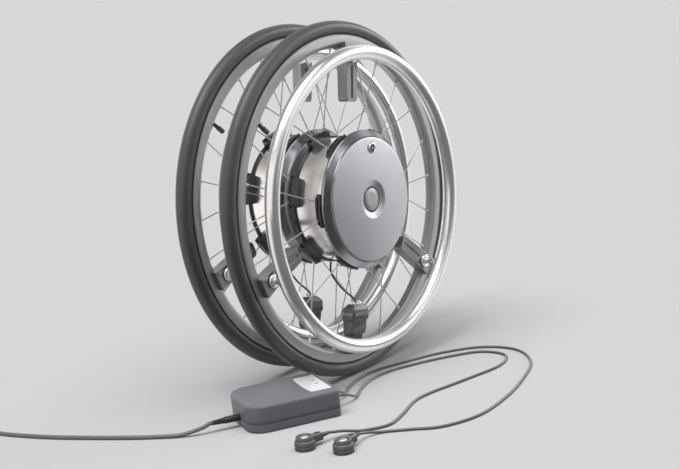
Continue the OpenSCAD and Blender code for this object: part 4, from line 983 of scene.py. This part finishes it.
def soften(obj, width):
    weld = obj.modifiers.new("weld", "WELD")
    weld.merge_threshold = EDGE_WELD
    flat = obj.modifiers.new("flat", "DECIMATE")
    flat.decimate_type = "DISSOLVE"
    flat.angle_limit = EDGE_FLAT
    edge = obj.modifiers.new("edge", "BEVEL")
    edge.width = width * MM
    edge.segments = EDGE_SEGMENTS
    edge.limit_method = "ANGLE"
    edge.angle_limit = EDGE_FROM
    edge.use_clamp_overlap = True
    edge.harden_normals = True


slots = {part["node"]: part["material_slot"] for part in frame["record"]["subparts"]}
for node, obj in frame["nodes"].items():
    obj.data.materials.clear()
    obj.data.materials.append(FINISHES[slots[node]])
    width = SOFT_EDGES.get(node.removeprefix("front_").removeprefix("rear_"))
    if width:
        soften(obj, width)


# Floor and light. The camera sees a pale floor that runs on into a sky of the same brightness. Metal mirrors
# a white floor and sky that go dark towards the dim side of the studio. The sky is dark overhead too, and
# the floor stays white close to the origin. Their other light is weak, and three soft lamps add to it. On the
# floor, the white that metal mirrors is a painted reflection and its dark a painted shade, and its weak
# bounce colour is painted shade too

FLOOR_SIZE = 300.0
FLOOR_ROUGH = 0.9
FLOOR_PALE = (0.635, 0.635, 0.643, 1)
# What metal mirrors of the floor is a painted reflection, and the floor's bounce colour below it is painted shade
FLOOR_MIRRORED = (0.92, 0.92, 0.92, 1)
FLOOR_BOUNCE = (0.20, 0.20, 0.20, 1)
SKY_PALE = (0.684, 0.684, 0.694, 1)
SKY_MIRRORED = ((0.0, 1.0), (0.52, 1.0), (0.66, 0.40), (0.78, 0.12), (1.0, 0.12))
SKY_BOUNCE = (0.24, 0.24, 0.243, 1)
UNLIT = (0.12, 0.12, 0.12, 1)
DIM_SIDE = (-0.30, -0.954, 0.0)
# Where each fade starts and ends: by the turn towards the dim side, and by metres from the origin
FLOOR_FADE, SKY_FADE = (0.15, 0.63), (0.72, 0.96)
FLOOR_LIT = (0.14, 0.28)
# Lamps: where each comes from, its strength, and its spread in degrees
LAMPS = {
    "top": ((-0.05, -0.35, 0.935), 1.2, 50),
    "left": ((-0.42, 0.05, 0.905), 1.5, 36),
    "right": ((0.92, -0.36, 0.14), 0.9, 40),
}


def math_node(nodes, links, operation, first, second):
    node = nodes.new("ShaderNodeMath")
    node.operation = operation
    links.new(first, node.inputs[0])
    links.new(second, node.inputs[1])
    return node.outputs[0]


def choose(nodes, links, factor, other, seen):
    """A mix of two colours, each a fixed one or a socket: the other at 0, the seen one at 1."""
    mix = nodes.new("ShaderNodeMix")
    mix.data_type = "RGBA"
    links.new(factor, mix.inputs["Factor"])
    for key, value in (("A", other), ("B", seen)):
        if isinstance(value, tuple):
            mix.inputs[key].default_value = value
        else:
            links.new(value, mix.inputs[key])
    return mix.outputs["Result"]


def by_ray(nodes, links, bounce, pale, in_metal):
    """What a ray gets: camera and glass the pale colour, mirrors their own, and other light the bounce."""
    path = nodes.new("ShaderNodeLightPath").outputs
    seen = choose(nodes, links, path["Is Glossy Ray"], pale, in_metal)
    direct = path["Is Camera Ray"]
    for kind in ("Is Glossy Ray", "Is Transmission Ray"):
        direct = math_node(nodes, links, "MAXIMUM", direct, path[kind])
    return choose(nodes, links, direct, bounce, seen)


def smooth_step(nodes, links, value, limits):
    """0 to 1 as the value goes from the first limit to the second."""
    step = nodes.new("ShaderNodeMapRange")
    step.interpolation_type = "SMOOTHSTEP"
    step.inputs["From Min"].default_value, step.inputs["From Max"].default_value = limits
    links.new(value, step.inputs["Value"])
    return step.outputs["Result"]


def towards_dim_side(nodes, links, way, fade):
    """0 to 1 as a direction turns to the side of the studio that the lamps leave dim; on the floor this dim is
    painted shade.
    """
    facing = vector_math(nodes, links, "DOT_PRODUCT", way)
    facing.inputs[1].default_value = DIM_SIDE
    return smooth_step(nodes, links, facing.outputs["Value"], fade)


def make_floor():
    mesh = bpy.data.meshes.new("floor")
    half = FLOOR_SIZE / 2
    corners = [(-half, -half, 0), (half, -half, 0), (half, half, 0), (-half, half, 0)]
    mesh.from_pydata(corners, [], [(0, 1, 2, 3)])
    material, nodes, links, shader = nodes_of("floor_paper")
    spot = nodes.new("ShaderNodeTexCoord").outputs["Object"]
    way = vector_math(nodes, links, "NORMALIZE", spot).outputs["Vector"]
    reach = vector_math(nodes, links, "LENGTH", spot).outputs["Value"]
    far = smooth_step(nodes, links, reach, FLOOR_LIT)
    # Painted reflection and painted shade: metal sees the floor white, going dark towards the dim side away from
    # the origin
    dim = math_node(nodes, links, "MULTIPLY", towards_dim_side(nodes, links, way, FLOOR_FADE), far)
    in_metal = choose(nodes, links, dim, FLOOR_MIRRORED, UNLIT)
    # Painted shade: other light gets the darker bounce colour from the floor
    links.new(by_ray(nodes, links, FLOOR_BOUNCE, FLOOR_PALE, in_metal), shader.inputs["Base Color"])
    shader.inputs["Roughness"].default_value = FLOOR_ROUGH
    shader.inputs["Specular IOR Level"].default_value = 0.0
    mesh.materials.append(material)
    add_object("floor", mesh)


def make_world():
    world = bpy.data.worlds.new("studio")
    world.use_nodes = True
    nodes, links = world.node_tree.nodes, world.node_tree.links
    way = nodes.new("ShaderNodeTexCoord").outputs["Generated"]
    split = nodes.new("ShaderNodeSeparateXYZ")
    ramp = nodes.new("ShaderNodeValToRGB")
    links.new(way, split.inputs[0])
    links.new(split.outputs["Z"], ramp.inputs["Fac"])
    stops = ramp.color_ramp.elements
    while len(stops) < len(SKY_MIRRORED):
        stops.new(1.0)
    for stop, (height, level) in zip(stops, SKY_MIRRORED):
        stop.position = height
        stop.color = (level, level, level, 1)
    dim = towards_dim_side(nodes, links, way, SKY_FADE)
    in_metal = choose(nodes, links, dim, ramp.outputs["Color"], UNLIT)
    light = by_ray(nodes, links, SKY_BOUNCE, SKY_PALE, in_metal)
    links.new(light, nodes["Background"].inputs["Color"])
    bpy.context.scene.world = world


def soft_sun(name, comes_from, strength, spread):
    data = bpy.data.lights.new(name, "SUN")
    data.energy = strength
    data.angle = math.radians(spread)
    light = add_object(name, data)
    light.rotation_euler = Vector(comes_from).to_track_quat("Z", "Y").to_euler()


make_floor()
make_world()
for name, lamp in LAMPS.items():
    soft_sun(name, *lamp)

bpy.context.scene.view_settings.view_transform = "Standard"
